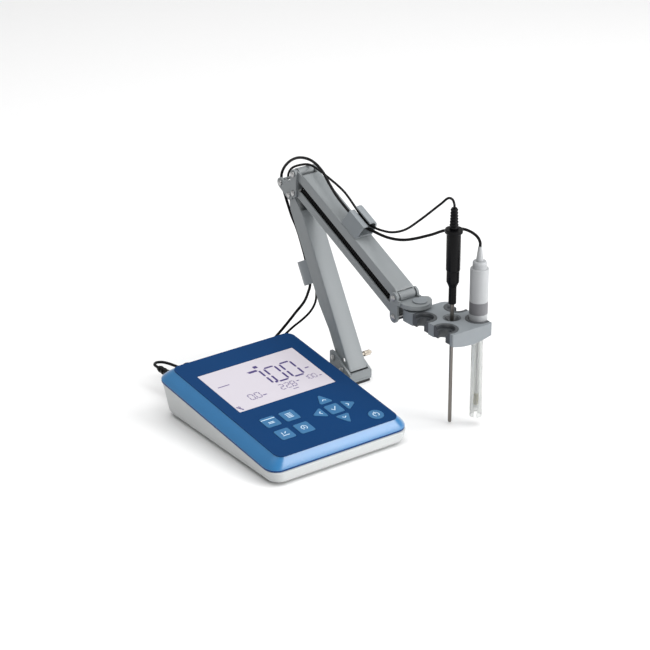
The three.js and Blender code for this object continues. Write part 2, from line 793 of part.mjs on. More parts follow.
function temperatureHandle() {
  return turned([
    [0, 130.8],
    [4, 130.8],
    [4, 148.9],
    [6.5, 154.3],
    [6.5, 166.4],
    [7.25, 167.2],
    [7.25, 206.7],
    [9, 206.7],
    [9, 210.9],
    ...ribbedProfile(210.9, 233, 4.6, 3.6, 5),
    [0, 233],
  ], 18);
}

function temperatureRod() {
  return turned([[0, 1], [0.9, 1.2], [1.5, 2.4], [1.5, 130.5], [0, 130.5]], 12);
}

function phHead() {
  return turned([
    [0, 111.9],
    [9.1, 111.9],
    [9.4, 112.6],
    [9.4, 170],
    [8.7, 170.2],
    [8.7, 171],
    [9, 171.2],
    [7.6, 175.6],
    [6.4, 177.6],
    [0, 177.6],
  ]);
}

// The glass tube, with a castellated guard round its bulb
function phGlass() {
  const tubeOuter = turned([[0, 19.8], [6.15, 19.8], [6.15, 111.6], [0, 111.6]], 20);
  const guard = turned([[6.3, 6.2], [6.3, 21.5], [5, 21.5], [5, 6.2], [6.3, 6.2]], 20);
  const bulb = turned([[0, 11.5], [2.2, 12.4], [3.1, 14.6], [2.6, 17.4], [2.6, 20.5], [0, 20.5]], 12);
  const slots = [0, 1, 2, 3].map((turn) => {
    return box(-1.4, 1.4, 0, 9, 5, 14).rotateZ(Math.PI / 4 + turn * Math.PI / 2);
  });
  return cut(join(tubeOuter, guard, bulb), ...slots);
}

function phStrainRelief() {
  return turned([[0, 177.9], [4, 177.9], ...ribbedProfile(177.9, 192.8, 4, 3.1, 4), [0, 192.8]], 14);
}

addMesh(root, 'temperature_handle', temperatureHandle(), finish.blackPlastic).position.set(boreX, boreY, 0);
addMesh(root, 'temperature_rod', temperatureRod(), finish.steel).position.set(boreX, boreY, 0);
addMesh(root, 'ph_strain_relief', phStrainRelief(), finish.rubber).position.set(phAxis[0], phAxis[1], 0);
addMesh(root, 'ph_head', phHead(), finish.blackPlastic).position.set(phAxis[0], phAxis[1], 0);
addMesh(root, 'ph_glass', phGlass(), finish.glass).position.set(phAxis[0], phAxis[1], 0);

// ---------- plugs and cables ----------

// A plug as a profile of [radius, y] pairs turned about its own axis, hollow where it covers the socket
function plug({ x, barrel, hollow, barrelEnd, bootEnd, boot }) {
  const start = depth / 2 + 1.8;
  const profile = [
    [0, start + 10],
    [hollow, start + 10],
    [hollow, start],
    [barrel, start],
    [barrel, barrelEnd - 1],
    [barrel - 1, barrelEnd],
    ...ribbedProfile(barrelEnd, bootEnd, boot, boot - 1.2, 5),
    [0, bootEnd],
  ];
  const points = profile.map(([radius, y]) => new THREE.Vector2(radius, y));
  return new THREE.LatheGeometry(points, 16).translate(x, 0, socketHeight);
}

const plugs = [
  { name: 'ph_plug', x: -46, barrel: 7.2, hollow: 6.3, barrelEnd: 122, bootEnd: 158, boot: 4.6 },
  { name: 'temperature_plug', x: -24, barrel: 5.6, hollow: 4.9, barrelEnd: 119, bootEnd: 140, boot: 3.6 },
];
for (const item of plugs) {
  addMesh(root, item.name, plug(item), finish.blackPlastic);
}

// A point beside the lower arm's rear face, and one above the upper arm
function besideLowerArm(x, s, n) {
  return [x, ...alongLowerArm(s, n)];
}

function aboveUpperArm(x, s, n) {
  return [x, ...alongUpperArm(s, n)];
}

function cable(points, radius, steps) {
  const curve = new THREE.CatmullRomCurve3(points.map((point) => new THREE.Vector3(...point)), false, 'centripetal');
  return tube(curve, radius, steps, 8);
}

// From the electrode over both clips, down behind the meter and round to the rear plug
const phRoute = [
  [163, -107.3, 193.1],
  [163, -107.1, 197],
  [162, -104, 202],
  [159, -97.5, 206],
  [155.2, -88, 207],
  [150, -68.4, 200.2],
  [146.5, -49.2, 189.7],
  [139.2, -18.5, 176],
  [135, 3, 172.2],
  aboveUpperArm(132.5, 112, 16.5),
  aboveUpperArm(126.5, 97, 15),
  aboveUpperArm(123.5, 83, 18),
  [122, 72.9, 198],
  [122, 86, 207.5],
  [122, 98.8, 218],
  [122, 116.2, 223.6],
  [122, 137.3, 221],
  [122, 155.2, 211.7],
  [121.5, 167, 199],
  [120.5, 169, 189],
  besideLowerArm(119, 159, 9),
  besideLowerArm(118, 140, 4.6),
  besideLowerArm(117.8, 122, 4.4),
  besideLowerArm(118, 105, 6),
  besideLowerArm(118, 92, 8),
  besideLowerArm(117.4, 80, 10.8),
  [117.4, 117.5, 76],
  [115.8, 122.5, 63.8],
  [108.8, 128.5, 50.8],
  [101.1, 133.5, 38.4],
  [90.3, 138, 25],
  [76, 141.5, 12],
  [58, 143, 3.4],
  [36, 144, 0.4],
  [12, 145, 1.6],
  [-4, 149, 4.6],
  [-16, 156, 8.6],
  [-24, 165.5, 12.5],
  [-31.5, 171.4, 15.4],
  [-39.5, 172.2, 17.2],
  [-45, 168, 17.9],
  [-46, 162.5, 18],
  [-46, 158.3, 18],
];

const temperatureRoute = [
  [boreX, boreY, 233.3],
  [boreX, boreY + 0.2, 236.5],
  [142.8, -87.8, 240.6],
  [142.3, -82.6, 240.9],
  [140.8, -72, 231.6],
  [138.4, -43, 205.8],
  [136.8, -21.3, 188.6],
  [135.6, -2.3, 179.8],
  [134.8, 14, 176.6],
  aboveUpperArm(134, 110, 19.6),
  aboveUpperArm(131.5, 97, 18.6),
  aboveUpperArm(130.5, 83, 21.6),
  [131, 71.2, 200.4],
  [131, 84, 204.6],
  [131, 97.1, 207.5],
  [131, 118, 211.6],
  [130.6, 132, 212.6],
  [129.6, 146, 208.6],
  [127.6, 161, 200],
  [126.3, 165, 190.5],
  besideLowerArm(125, 172, 6),
  besideLowerArm(124, 140, 3),
  besideLowerArm(123.5, 122, 3.2),
  besideLowerArm(123.5, 105, 5),
  besideLowerArm(124, 92, 6.6),
  besideLowerArm(124.4, 79, 10.6),
  [125.1, 113.6, 69.5],
  [124.3, 116, 60],
  [120.4, 119.4, 51],
  [113.5, 124, 42.4],
  [105.1, 127.6, 35.6],
  [93.5, 131, 25.6],
  [78, 132.5, 12.6],
  [60, 133, 4],
  [40, 134.4, 0.4],
  [22, 138, 3.4],
  [6, 143.5, 10],
  [-7, 149, 15.2],
  [-17, 150.6, 17.6],
  [-22.4, 147.6, 18],
  [-24, 143.4, 18],
  [-24, 140.3, 18],
];

addMesh(root, 'ph_cable', cable(phRoute, phCableRadius, 66), finish.rubber);
addMesh(root, 'temperature_cable', cable(temperatureRoute, temperatureCableRadius, 76), finish.rubber);

export default root;
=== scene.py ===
"""The visual model of a bench ph meter with its electrode arm, probes and cables."""

import math

import bmesh
import bpy
from mathutils import Matrix, Vector


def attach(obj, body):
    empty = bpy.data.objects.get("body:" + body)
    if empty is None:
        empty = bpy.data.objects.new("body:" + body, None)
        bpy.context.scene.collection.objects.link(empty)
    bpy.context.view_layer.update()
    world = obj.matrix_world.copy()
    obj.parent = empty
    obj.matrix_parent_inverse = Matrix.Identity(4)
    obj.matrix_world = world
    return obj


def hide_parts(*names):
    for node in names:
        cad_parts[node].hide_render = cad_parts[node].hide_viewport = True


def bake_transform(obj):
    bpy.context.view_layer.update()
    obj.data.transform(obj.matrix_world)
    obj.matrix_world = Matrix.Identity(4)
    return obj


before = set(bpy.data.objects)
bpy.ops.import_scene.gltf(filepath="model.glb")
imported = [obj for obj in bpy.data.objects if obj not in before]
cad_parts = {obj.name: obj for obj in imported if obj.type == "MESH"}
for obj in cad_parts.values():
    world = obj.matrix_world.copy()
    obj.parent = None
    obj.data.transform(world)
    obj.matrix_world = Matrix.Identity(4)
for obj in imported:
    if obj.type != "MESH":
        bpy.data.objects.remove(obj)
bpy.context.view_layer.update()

# All shapes are drawn in millimetres, in the model's own frame, and scaled to metres when they become pieces.
MM = 0.001

# ---------- camera ----------

AZIMUTH = math.radians(-36.5)
ELEVATION = math.radians(24.5)
CAMERA_PLACE = Vector((-1.3085, -1.8395, 1.1414))


def make_camera():
    data = bpy.data.cameras.new("camera")
    data.sensor_width = 36
    data.lens = 138.46
    data.clip_end = 60
    camera = bpy.data.objects.new("camera", data)
    bpy.context.scene.collection.objects.link(camera)
    back = Vector((
        math.sin(AZIMUTH) * math.cos(ELEVATION),
        -math.cos(AZIMUTH) * math.cos(ELEVATION),
        math.sin(ELEVATION),
    ))
    camera.location = CAMERA_PLACE
    camera.rotation_mode = "QUATERNION"
    camera.rotation_quaternion = back.to_track_quat("Z", "Y")
    bpy.context.scene.camera = camera


make_camera()

# ---------- the arm's and the deck's own frames ----------

ARM_X = 126
DECK_TILT = math.radians(7.41)
DECK_HEIGHT = 12.2 + math.tan(DECK_TILT) * 102 + 14.4 / math.cos(DECK_TILT)
LOWER_LEAN = math.radians(29.12)
LOWER_LENGTH = 191.5
UPPER_DROP = math.radians(24.97)
UPPER_LENGTH = 189.3
PIVOT_RISE = 21
BASE_FRONT = (50.4, 12.5)
BASE_REAR = (65.6, 21.3)
UPPER_TOP = (136, 205)
UPPER_BOTTOM = (136, 205 - PIVOT_RISE)


def tilted(x, y, z, angle):
    return Matrix.Translation((x, y, z)) @ Matrix.Rotation(angle, 4, "X")


def along_lower_arm(s, n, pivot=BASE_REAR):
    """(y, z) of a point s along the lower arm and n behind it."""
    sine, cosine = math.sin(LOWER_LEAN), math.cos(LOWER_LEAN)
    return (pivot[0] + s * sine + n * cosine, pivot[1] + s * cosine - n * sine)


def along_upper_arm(s, n):
    """(y, z) of a point s along the upper arm and n above it."""
    sine, cosine = math.sin(UPPER_DROP), math.cos(UPPER_DROP)
    return (UPPER_TOP[0] - s * cosine - n * sine, UPPER_TOP[1] - s * sine + n * cosine)


DECK = tilted(0, 0, DECK_HEIGHT, DECK_TILT)
LOWER_CHANNEL = tilted(ARM_X, *BASE_FRONT, -LOWER_LEAN)
LOWER_LINK = tilted(ARM_X, *BASE_REAR, -LOWER_LEAN)
UPPER_CHANNEL = tilted(ARM_X, *UPPER_TOP, UPPER_DROP)
UPPER_LINK = tilted(ARM_X, *UPPER_BOTTOM, UPPER_DROP)
ARM_PLANE = Matrix.Translation((ARM_X, 0, 0))
ELBOW_FRONT = along_lower_arm(LOWER_LENGTH, 0, BASE_FRONT)
ELBOW_REAR = along_lower_arm(LOWER_LENGTH, 0)
KNUCKLE_TOP = along_upper_arm(UPPER_LENGTH, 0)
KNUCKLE_BOTTOM = (KNUCKLE_TOP[0], KNUCKLE_TOP[1] - PIVOT_RISE)
HUB = (ARM_X + 7, KNUCKLE_TOP[0] - 16)

# ---------- materials ----------


def surface(
    name,
    colour,
    roughness,
    metallic=0.0,
    mottle=0.06,
    scale=60,
    bump=0.05,
    grain=900,
    coat=0.0,
    specular=0.5,
):
    """A finish with slow colour changes, uneven gloss and a fine grain."""
    material = bpy.data.materials.new(name)
    material.use_nodes = True
    tree = material.node_tree
    shader = tree.nodes["Principled BSDF"]
    shader.inputs["Metallic"].default_value = metallic
    shader.inputs["Specular IOR Level"].default_value = specular
    shader.inputs["Coat Weight"].default_value = coat
    shader.inputs["Coat Roughness"].default_value = 0.3
    place = tree.nodes.new("ShaderNodeTexCoord")
    slow = tree.nodes.new("ShaderNodeTexNoise")
    slow.inputs["Scale"].default_value = scale
    slow.inputs["Detail"].default_value = 4
    fine = tree.nodes.new("ShaderNodeTexNoise")
    fine.inputs["Scale"].default_value = grain
    fine.inputs["Detail"].default_value = 3
    tint = tree.nodes.new("ShaderNodeMix")
    tint.data_type = "RGBA"
    tint.inputs["A"].default_value = (*[part * (1 - mottle) for part in colour], 1)
    tint.inputs["B"].default_value = (*[min(1, part * (1 + mottle)) for part in colour], 1)
    gloss = tree.nodes.new("ShaderNodeMapRange")
    gloss.inputs["To Min"].default_value = max(0.02, roughness - 0.07)
    gloss.inputs["To Max"].default_value = min(1, roughness + 0.07)
    relief = tree.nodes.new("ShaderNodeBump")
    relief.inputs["Strength"].default_value = bump
    relief.inputs["Distance"].default_value = 0.0004
    link = tree.links.new
    link(place.outputs["Object"], slow.inputs["Vector"])
    link(place.outputs["Object"], fine.inputs["Vector"])
    link(slow.outputs["Fac"], tint.inputs["Factor"])
    link(slow.outputs["Fac"], gloss.inputs["Value"])
    link(fine.outputs["Fac"], relief.inputs["Height"])
    link(tint.outputs["Result"], shader.inputs["Base Color"])
    link(gloss.outputs["Result"], shader.inputs["Roughness"])
    link(relief.outputs["Normal"], shader.inputs["Normal"])
    return material


def brushed(name, colour, roughness):
    """Turned or drawn metal: a metallic finish whose fine grain is distorted."""
    material = surface(name, colour, roughness, metallic=1.0, bump=0.03, grain=1500)
    fine = [node for node in material.node_tree.nodes if node.type == "TEX_NOISE"][1]
    fine.inputs["Distortion"].default_value = 1.5
    return material


def clear_glass(name, colour):
    material = surface(name, colour, 0.09, mottle=0.02, bump=0.01)
    shader = material.node_tree.nodes["Principled BSDF"]
    shader.inputs["Transmission Weight"].default_value = 0.86
    shader.inputs["IOR"].default_value = 1.47
    return material


CASE = surface("case_plastic", (0.50, 0.515, 0.515), 0.5, bump=0.12, specular=0.3)
COVER = surface("cover_plastic", (0.010, 0.15, 0.36), 0.34, bump=0.04, coat=1.0, specular=0.4)
# Darker blue of the cover's lip along the seam: painted shade under the cover's outer edge
SEAM_SHADE = surface("seam_painted_shade", (0.002, 0.045, 0.17), 0.4, specular=0.3)
LABEL = surface("label_film", (0.001, 0.034, 0.12), 0.45, mottle=0.1, scale=12, bump=0.03, specular=0.1)
KEY = surface("key_plastic", (0.035, 0.14, 0.29), 0.45, bump=0.04, specular=0.25)
ICON = surface("key_print", (0.55, 0.68, 0.80), 0.5)
LCD = surface("display_pane", (0.55, 0.52, 0.57), 0.35, mottle=0.03, scale=14, bump=0.0, specular=0.2)
SEGMENT = surface("display_segments", (0.05, 0.03, 0.15), 0.3)
SEGMENT_PALE = surface("display_small_segments", (0.09, 0.06, 0.19), 0.3)
ARM_PAINT = surface("arm_paint", (0.205, 0.222, 0.23), 0.38, mottle=0.04, bump=0.1, grain=1600)
HOLDER = surface("holder_plastic", (0.20, 0.22, 0.235), 0.4, mottle=0.05, bump=0.1)
STEEL = brushed("turned_steel", (0.42, 0.42, 0.42), 0.3)
SCREW_STEEL = brushed("screw_steel", (0.30, 0.27, 0.23), 0.32)
ROD_STEEL = brushed("probe_steel", (0.19, 0.175, 0.16), 0.3)
# Nearly black spring: painted shade for the dark slot between the upper channel and its link, where the
# spring sits
SPRING_SHADE = surface("spring_painted_shade", (0.003, 0.003, 0.0035), 0.4, specular=0.2)
BLACK = surface("black_plastic", (0.0025, 0.0025, 0.003), 0.28, mottle=0.2, bump=0.05, specular=0.12)
HEAD = surface("electrode_head", (0.37, 0.38, 0.39), 0.34, mottle=0.03)
BAND = surface("grey_band", (0.14, 0.14, 0.15), 0.42)
COLLAR = surface("collar_rubber", (0.05, 0.055, 0.06), 0.35, mottle=0.15, bump=0.1)
RUBBER = surface("foot_rubber", (0.012, 0.012, 0.014), 0.7, mottle=0.2, bump=0.2)
SHEATH = surface("cable_sheath", (0.003, 0.003, 0.0035), 0.4, mottle=0.2, bump=0.06, specular=0.15)
GLASS = clear_glass("electrode_glass", (0.80, 0.81, 0.80))
ELEMENT = surface("electrode_element", (0.70, 0.62, 0.24), 0.4)
WIRE = brushed("electrode_wire", (0.50, 0.50, 0.52), 0.3)

# ---------- shapes ----------


def arc(x, y, radius, start, end, steps=8):
    """Points of an arc, with its angles in degrees."""
    angles = [math.radians(start + (end - start) * step / steps) for step in range(steps + 1)]
    return [(x + radius * math.cos(angle), y + radius * math.sin(angle)) for angle in angles]


def rounded(x0, x1, y0, y1, radius, steps=6):
    return [
        *arc(x1 - radius, y0 + radius, radius, -90, 0, steps),
        *arc(x1 - radius, y1 - radius, radius, 0, 90, steps),
        *arc(x0 + radius, y1 - radius, radius, 90, 180, steps),
        *arc(x0 + radius, y0 + radius, radius, 180, 270, steps),
    ]


def circle(x, y, radius, steps=32):
    return arc(x, y, radius, 0, 360, steps)[:-1]


def capsule(a, b, radius):
    angle = math.degrees(math.atan2(b[1] - a[1], b[0] - a[0]))
    return [*arc(*a, radius, angle + 90, angle + 270, 12), *arc(*b, radius, angle - 90, angle + 90, 12)]


# Where an outline's own axes go: a plan (x, y) rises along z, a side (y, z) runs along x, and a section
# (x, z) runs along y
PLAN = Matrix.Identity(4)
SIDE = Matrix(((0, 0, 1, 0), (1, 0, 0, 0), (0, 1, 0, 0), (0, 0, 0, 1)))
SECTION = Matrix(((1, 0, 0, 0), (0, 0, 1, 0), (0, 1, 0, 0), (0, 0, 0, 1)))


def to_mesh(bm):
    bmesh.ops.recalc_face_normals(bm, faces=bm.faces)
    mesh = bpy.data.meshes.new("shape")
    bm.to_mesh(mesh)
    bm.free()
    return mesh


def prism(outline, low, high, axes=PLAN, holes=()):
    """An outline, with holes if any, extruded from low to high."""
    bm = bmesh.new()
    edges = []
    for loop in (outline, *holes):
        corners = [bm.verts.new((*point, low)) for point in loop]
        edges += [bm.edges.new((corners[i - 1], corners[i])) for i in range(len(corners))]
    if holes:
        bmesh.ops.triangle_fill(bm, edges=edges, use_beauty=True)
    else:
        bm.faces.new(list(bm.verts))
    grown = bmesh.ops.extrude_face_region(bm, geom=list(bm.faces))
    raised = [item for item in grown["geom"] if isinstance(item, bmesh.types.BMVert)]
    bmesh.ops.translate(bm, verts=raised, vec=(0, 0, high - low))
    bm.transform(axes)
    return to_mesh(bm)


def lathe(profile, steps=48):
    """(radius, height) pairs turned about z; a radius of 0 ends on the axis."""
    bm = bmesh.new()
    rings = []
    for radius, height in profile:
        if radius == 0:
            rings.append([bm.verts.new((0, 0, height))])
        else:
            rings.append([bm.verts.new((x, y, height)) for x, y in circle(0, 0, radius, steps)])
    for low, high in zip(rings, rings[1:]):
        for i in range(steps):
            after = i + 1
            corners = (
                low[i % len(low)],
                low[after % len(low)],
                high[after % len(high)],
                high[i % len(high)],
            )
            # A ring of one point on the axis gives a triangle
            unique = list(dict.fromkeys(corners))
            if len(unique) > 2:
                bm.faces.new(unique)
    bmesh.ops.remove_doubles(bm, verts=bm.verts, dist=1e-6)
    return to_mesh(bm)


def loft(rings, marks=()):
    """Closed skin through rings of equal length; marks are the bands that take the second material."""
    bm = bmesh.new()
    loops = [[bm.verts.new(point) for point in ring] for ring in rings]
    count = len(loops[0])
    for band, (low, high) in enumerate(zip(loops, loops[1:])):
        for i in range(count):
            face = bm.faces.new((low[i - 1], low[i], high[i], high[i - 1]))
            face.material_index = 1 if band in marks else 0
    bm.faces.new(loops[0])
    bm.faces.new(loops[-1])
    return to_mesh(bm)


def merged(meshes):
    """One mesh of several."""
    bm = bmesh.new()
    for mesh in meshes:
        bm.from_mesh(mesh)
    mesh = bpy.data.meshes.new("shape")
    bm.to_mesh(mesh)
    bm.free()
    return mesh


def moved(mesh, matrix):
    mesh.transform(matrix)
    return mesh


def combined(base, tools, operation="DIFFERENCE"):
    """Exact boolean of a mesh with one or more others."""
    helpers = [bpy.data.objects.new("helper", mesh) for mesh in (base, *tools)]
    for helper in helpers:
        bpy.context.scene.collection.objects.link(helper)
    for tool in helpers[1:]:
        modifier = helpers[0].modifiers.new("boolean", "BOOLEAN")
        modifier.solver = "EXACT"
        modifier.operation = operation
        modifier.object = tool
    graph = bpy.context.evaluated_depsgraph_get()
    mesh = bpy.data.meshes.new_from_object(helpers[0].evaluated_get(graph))
    for helper in helpers:
        bpy.data.objects.remove(helper)
    return mesh


def piece(name, mesh, body, materials, nodes=(), place=None, bevel=0.3, segments=3):
    """Turns a millimetre mesh into a shown piece that rides on a body and stands for CAD nodes."""
    mesh = mesh.copy()
    mesh.transform(Matrix.Scale(MM, 4) @ (place or Matrix.Identity(4)))
    for material in materials if isinstance(materials, (list, tuple)) else [materials]:
        mesh.materials.append(material)
    mesh.shade_smooth()
    mesh.set_sharp_from_angle(angle=math.radians(32))
    mesh.name = name
    item = bpy.data.objects.new(name, mesh)
    bpy.context.scene.collection.objects.link(item)
    if bevel:
        modifier = item.modifiers.new("edges", "BEVEL")
        modifier.width = bevel * MM
        modifier.segments = segments
        modifier.limit_method = "ANGLE"
        modifier.angle_limit = math.radians(32)
        modifier.harden_normals = True
    if body:
        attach(item, body)
    for node in nodes:
        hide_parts(node)
    return item


# ---------- cables ----------

PH_RADIUS = 1.5
TEMPERATURE_RADIUS = 1.25
BORE = (143, -90.5)
SOCKET_HEIGHT = 18

PH_ROUTE = [
    (163, -107.3, 193.1),
    (163, -107.1, 197),
    (162, -104, 202),
    (159, -97.5, 206),
    (155.2, -88, 207),
    (150, -68.4, 200.2),
    (146.5, -49.2, 189.7),
    (139.2, -18.5, 176),
    (135, 3, 172.2),
    (132.5, *along_upper_arm(112, 16.5)),
    (126.5, *along_upper_arm(97, 15)),
    (123.5, *along_upper_arm(83, 18)),
    (122, 72.9, 198),
    (122, 86, 207.5),
    (122, 98.8, 218),
    (122, 116.2, 223.6),
    (122, 137.3, 221),
    (122, 155.2, 211.7),
    (121.5, 167, 199),
    (120.5, 169, 189),
    (119, *along_lower_arm(159, 9)),
    (118, *along_lower_arm(140, 4.6)),
    (117.8, *along_lower_arm(122, 4.4)),
    (118, *along_lower_arm(105, 6)),
    (118, *along_lower_arm(92, 8)),
    (117.4, *along_lower_arm(80, 10.8)),
    (117.4, 117.5, 76),
    (115.8, 122.5, 63.8),
    (108.8, 128.5, 50.8),
    (101.1, 133.5, 38.4),
    (90.3, 138, 25),
    (76, 141.5, 12),
    (58, 143, 3.4),
    (36, 144, 0.4),
    (12, 145, 1.6),
    (-4, 149, 4.6),
    (-16, 156, 8.6),
    (-24, 165.5, 12.5),
    (-31.5, 171.4, 15.4),
    (-39.5, 172.2, 17.2),
    (-45, 168, 17.9),
    (-46, 162.5, 18),
    (-46, 158.3, 18),
]

TEMPERATURE_ROUTE = [
    (*BORE, 233.3),
    (BORE[0], BORE[1] + 0.2, 236.5),
    (142.8, -87.8, 240.6),
    (142.3, -82.6, 240.9),
    (140.8, -72, 231.6),
    (138.4, -43, 205.8),
    (136.8, -21.3, 188.6),
    (135.6, -2.3, 179.8),
    (134.8, 14, 176.6),
    (134, *along_upper_arm(110, 19.6)),
    (131.5, *along_upper_arm(97, 18.6)),
    (130.5, *along_upper_arm(83, 21.6)),
    (131, 71.2, 200.4),
    (131, 84, 204.6),
    (131, 97.1, 207.5),
    (131, 118, 211.6),
    (130.6, 132, 212.6),
    (129.6, 146, 208.6),
    (127.6, 161, 200),
    (126.3, 165, 190.5),
    (125, *along_lower_arm(172, 6)),
    (124, *along_lower_arm(140, 3)),
    (123.5, *along_lower_arm(122, 3.2)),
    (123.5, *along_lower_arm(105, 5)),
    (124, *along_lower_arm(92, 6.6)),
    (124.4, *along_lower_arm(79, 10.6)),
    (125.1, 113.6, 69.5),
    (124.3, 116, 60),
    (120.4, 119.4, 51),
    (113.5, 124, 42.4),
    (105.1, 127.6, 35.6),
    (93.5, 131, 25.6),
    (78, 132.5, 12.6),
    (60, 133, 4),
    (40, 134.4, 0.4),
    (22, 138, 3.4),
    (6, 143.5, 10),
    (-7, 149, 15.2),
    (-17, 150.6, 17.6),
    (-22.4, 147.6, 18),
    (-24, 143.4, 18),
    (-24, 140.3, 18),
]

# Parts of each cable between route points, with the body it rides on and a second body where it crosses a
# joint; a span across a joint stays where it is drawn
PH_SPANS = [
    (0, 6, "ph_electrode", "holder"),
    (6, 7, "holder", "knuckle"),
    (7, 9, "knuckle", "upper_arm"),
    (9, 12, "upper_arm", None),
    (12, 16, "upper_arm", "elbow"),
    (16, 22, "elbow", "lower_link"),
    (22, 25, "lower_link", None),
    (25, 32, "lower_link", "meter"),
    (32, 42, "meter", None),
]
TEMPERATURE_SPANS = [
    (0, 5, "temperature_probe", "holder"),
    (5, 7, "holder", "knuckle"),
    (7, 9, "knuckle", "upper_arm"),
    (9, 12, "upper_arm", None),
    (12, 16, "upper_arm", "elbow"),
    (16, 22, "elbow", "lower_link"),
    (22, 25, "lower_link", None),
    (25, 33, "lower_link", "meter"),
    (33, 41, "meter", None),
]
CABLE_STEPS = 8


def smooth_route(points):
    """Centripetal Catmull-Rom points, CABLE_STEPS to each stretch between two route points."""
    knots = [Vector(point) for point in points]
    knots = [2 * knots[0] - knots[1], *knots, 2 * knots[-1] - knots[-2]]
    line = []
    for p0, p1, p2, p3 in zip(knots, knots[1:], knots[2:], knots[3:]):
        t1 = (p1 - p0).length ** 0.5
        t2 = t1 + (p2 - p1).length ** 0.5
        t3 = t2 + (p3 - p2).length ** 0.5
        for step in range(CABLE_STEPS):
            t = t1 + (t2 - t1) * step / CABLE_STEPS
            a1 = p0.lerp(p1, t / t1)
            a2 = p1.lerp(p2, (t - t1) / (t2 - t1))
            a3 = p2.lerp(p3, (t - t2) / (t3 - t2))
            b1 = a1.lerp(a2, t / t2)
            b2 = a2.lerp(a3, (t - t1) / (t3 - t1))
            line.append(b1.lerp(b2, (t - t1) / (t2 - t1)))
    return [*line, Vector(points[-1])]


def rings_along(line, radius, sides=14):
    """Rings round a line, carried along it without twist."""
    across = Vector((1, 0, 0))
    rings = []
    for index, point in enumerate(line):
        ahead = line[min(index + 1, len(line) - 1)] - line[max(index - 1, 0)]
        ahead.normalize()
        across = (across - ahead * across.dot(ahead)).normalized()
        other = ahead.cross(across)
        rings.append([
            point + radius * (math.cos(angle) * across + math.sin(angle) * other)
            for angle in (2 * math.pi * side / sides for side in range(sides))
        ])
    return rings


def lay_cable(name, node, route, radius, spans):
    """A cable in stretches, each of which rides on one body or, across a joint, stays where it is drawn."""
    line = smooth_route(route)
    rings = rings_along(line, radius)
    for number, (first, last, body, other) in enumerate(spans):
        low, high = first * CABLE_STEPS, last * CABLE_STEPS
        mesh = loft(rings[low:high + 1])
        item = piece(f"{name}_{number + 1}", mesh, None if other else body, SHEATH, bevel=0)
        if number == 0:
            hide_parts(node)
        if other:
            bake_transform(item)


def ribs(low, high, radius0, radius1, count, depth=0.7):
    """A ribbed sleeve's profile, narrowing upwards."""
    profile = []
    step = (high - low) / count
    for rib in range(count):
        radius = radius0 + (radius1 - radius0) * rib / count
        start = low + rib * step
        profile += [
            (radius - depth, start),
            (radius - 0.2, start + 0.1 * step),
            (radius, start + 0.2 * step),
            (radius, start + 0.5 * step),
            (radius - 0.2, start + 0.6 * step),
            (radius - depth, start + 0.7 * step),
        ]
    return [*profile, (radius1 - depth, high), (radius1 - depth - 0.3, high + 0.1)]


def plug(name, x, barrel, barrel_end, boot_end, boot):
    """A rear plug: grip rings on its barrel and a ribbed boot, turned about the socket's axis."""
    start = 103.8
    grips = []
    for ring in range(5):
        y = start + 3 + ring * 2.2
        grips += [(barrel, y), (barrel, y + 1.2), (barrel - 0.35, y + 1.5), (barrel - 0.35, y + 2)]
    profile = [
        (0, start),
        (barrel - 0.5, start),
        (barrel, start + 0.5),
        *grips,
        (barrel, barrel_end - 1.2),
        (barrel - 1.2, barrel_end),
        *ribs(barrel_end, boot_end, boot, boot - 1.2, 6),
        (0, boot_end + 0.1),
    ]
    # The profile rises along z; turning it to y points its end to the rear
    place = Matrix.Translation((x, 0, SOCKET_HEIGHT)) @ Matrix.Rotation(math.radians(-90), 4, "X")
    return piece(name + "_body", lathe(profile), "meter", BLACK, [name], place, bevel=0)


ph_plug = plug("ph_plug", -46, 7.2, 122, 158, 4.6)
temperature_plug = plug("temperature_plug", -24, 5.6, 119, 140, 3.6)
lay_cable("ph_lead", "ph_cable", PH_ROUTE, PH_RADIUS, PH_SPANS)
lay_cable(
    "temperature_lead",
    "temperature_cable",
    TEMPERATURE_ROUTE,
    TEMPERATURE_RADIUS,
    TEMPERATURE_SPANS,
)

# ---------- meter body ----------

WIDTH = 170
DEPTH = 204
CORNER = 14
COVER_HEIGHT = 14.4


def outline_ring(side, front, rear, height):
    """The meter's rounded plan, inset from its full size, at a height that depends on y."""
    half = WIDTH / 2 - side
    plan = rounded(-half, half, -DEPTH / 2 + front, DEPTH / 2 - rear, CORNER - side / 2, 10)
    return [(x, y, height(y)) for x, y in plan]


def seam_height(y):
    return 12.2 + math.tan(DECK_TILT) * (y + DEPTH / 2)


def drafted(ring):
    """The side walls lean in towards the underside, so the tall rear end is narrowest at the bottom."""
    return [
        (x - math.copysign(0.21 * (seam_height(y) - z), x) * min(1, abs(x) / 60), y, z)
        for x, y, z in ring
    ]


def lower_case():
    def flat(height):
        return lambda y: height

    steps = 7
    rings = []
    for step in range(steps + 1):
        # The foot of the wall curves in to the underside
        turn = math.radians(90 * step / steps)
        share = 1 - math.sin(turn)
        rings.append(outline_ring(
            0.9 + 4.3 * share,
            0.9 + 5.7 * share,
            0.9 + 4.3 * share,
            flat(6 * (1 - math.cos(turn))),
        ))
    rings.append(outline_ring(0.6, 0.6, 0.6, lambda y: seam_height(y) - 0.5))
    rings.append(outline_ring(1.1, 1.1, 1.1, seam_height))
    body = loft([drafted(ring) for ring in rings])
    pocket = prism(rounded(29.7, 100, 35.7, 71.3, 0.5), -1, 3.3)
    vents = [
        prism(rounded(x - 0.9, x + 0.9, 40, 62, 0.8), -1, 1.2)
        for x in range(-60, -20, 5)
    ]
    return combined(body, [pocket, *vents])


def cover_ring(share, z):
    grown = 0.65 * share + 0.35 * (1 - math.cos(share * math.pi / 2))
    return outline_ring(10.7 * grown, 5.6 * grown, 10.2 * grown, lambda y: z)


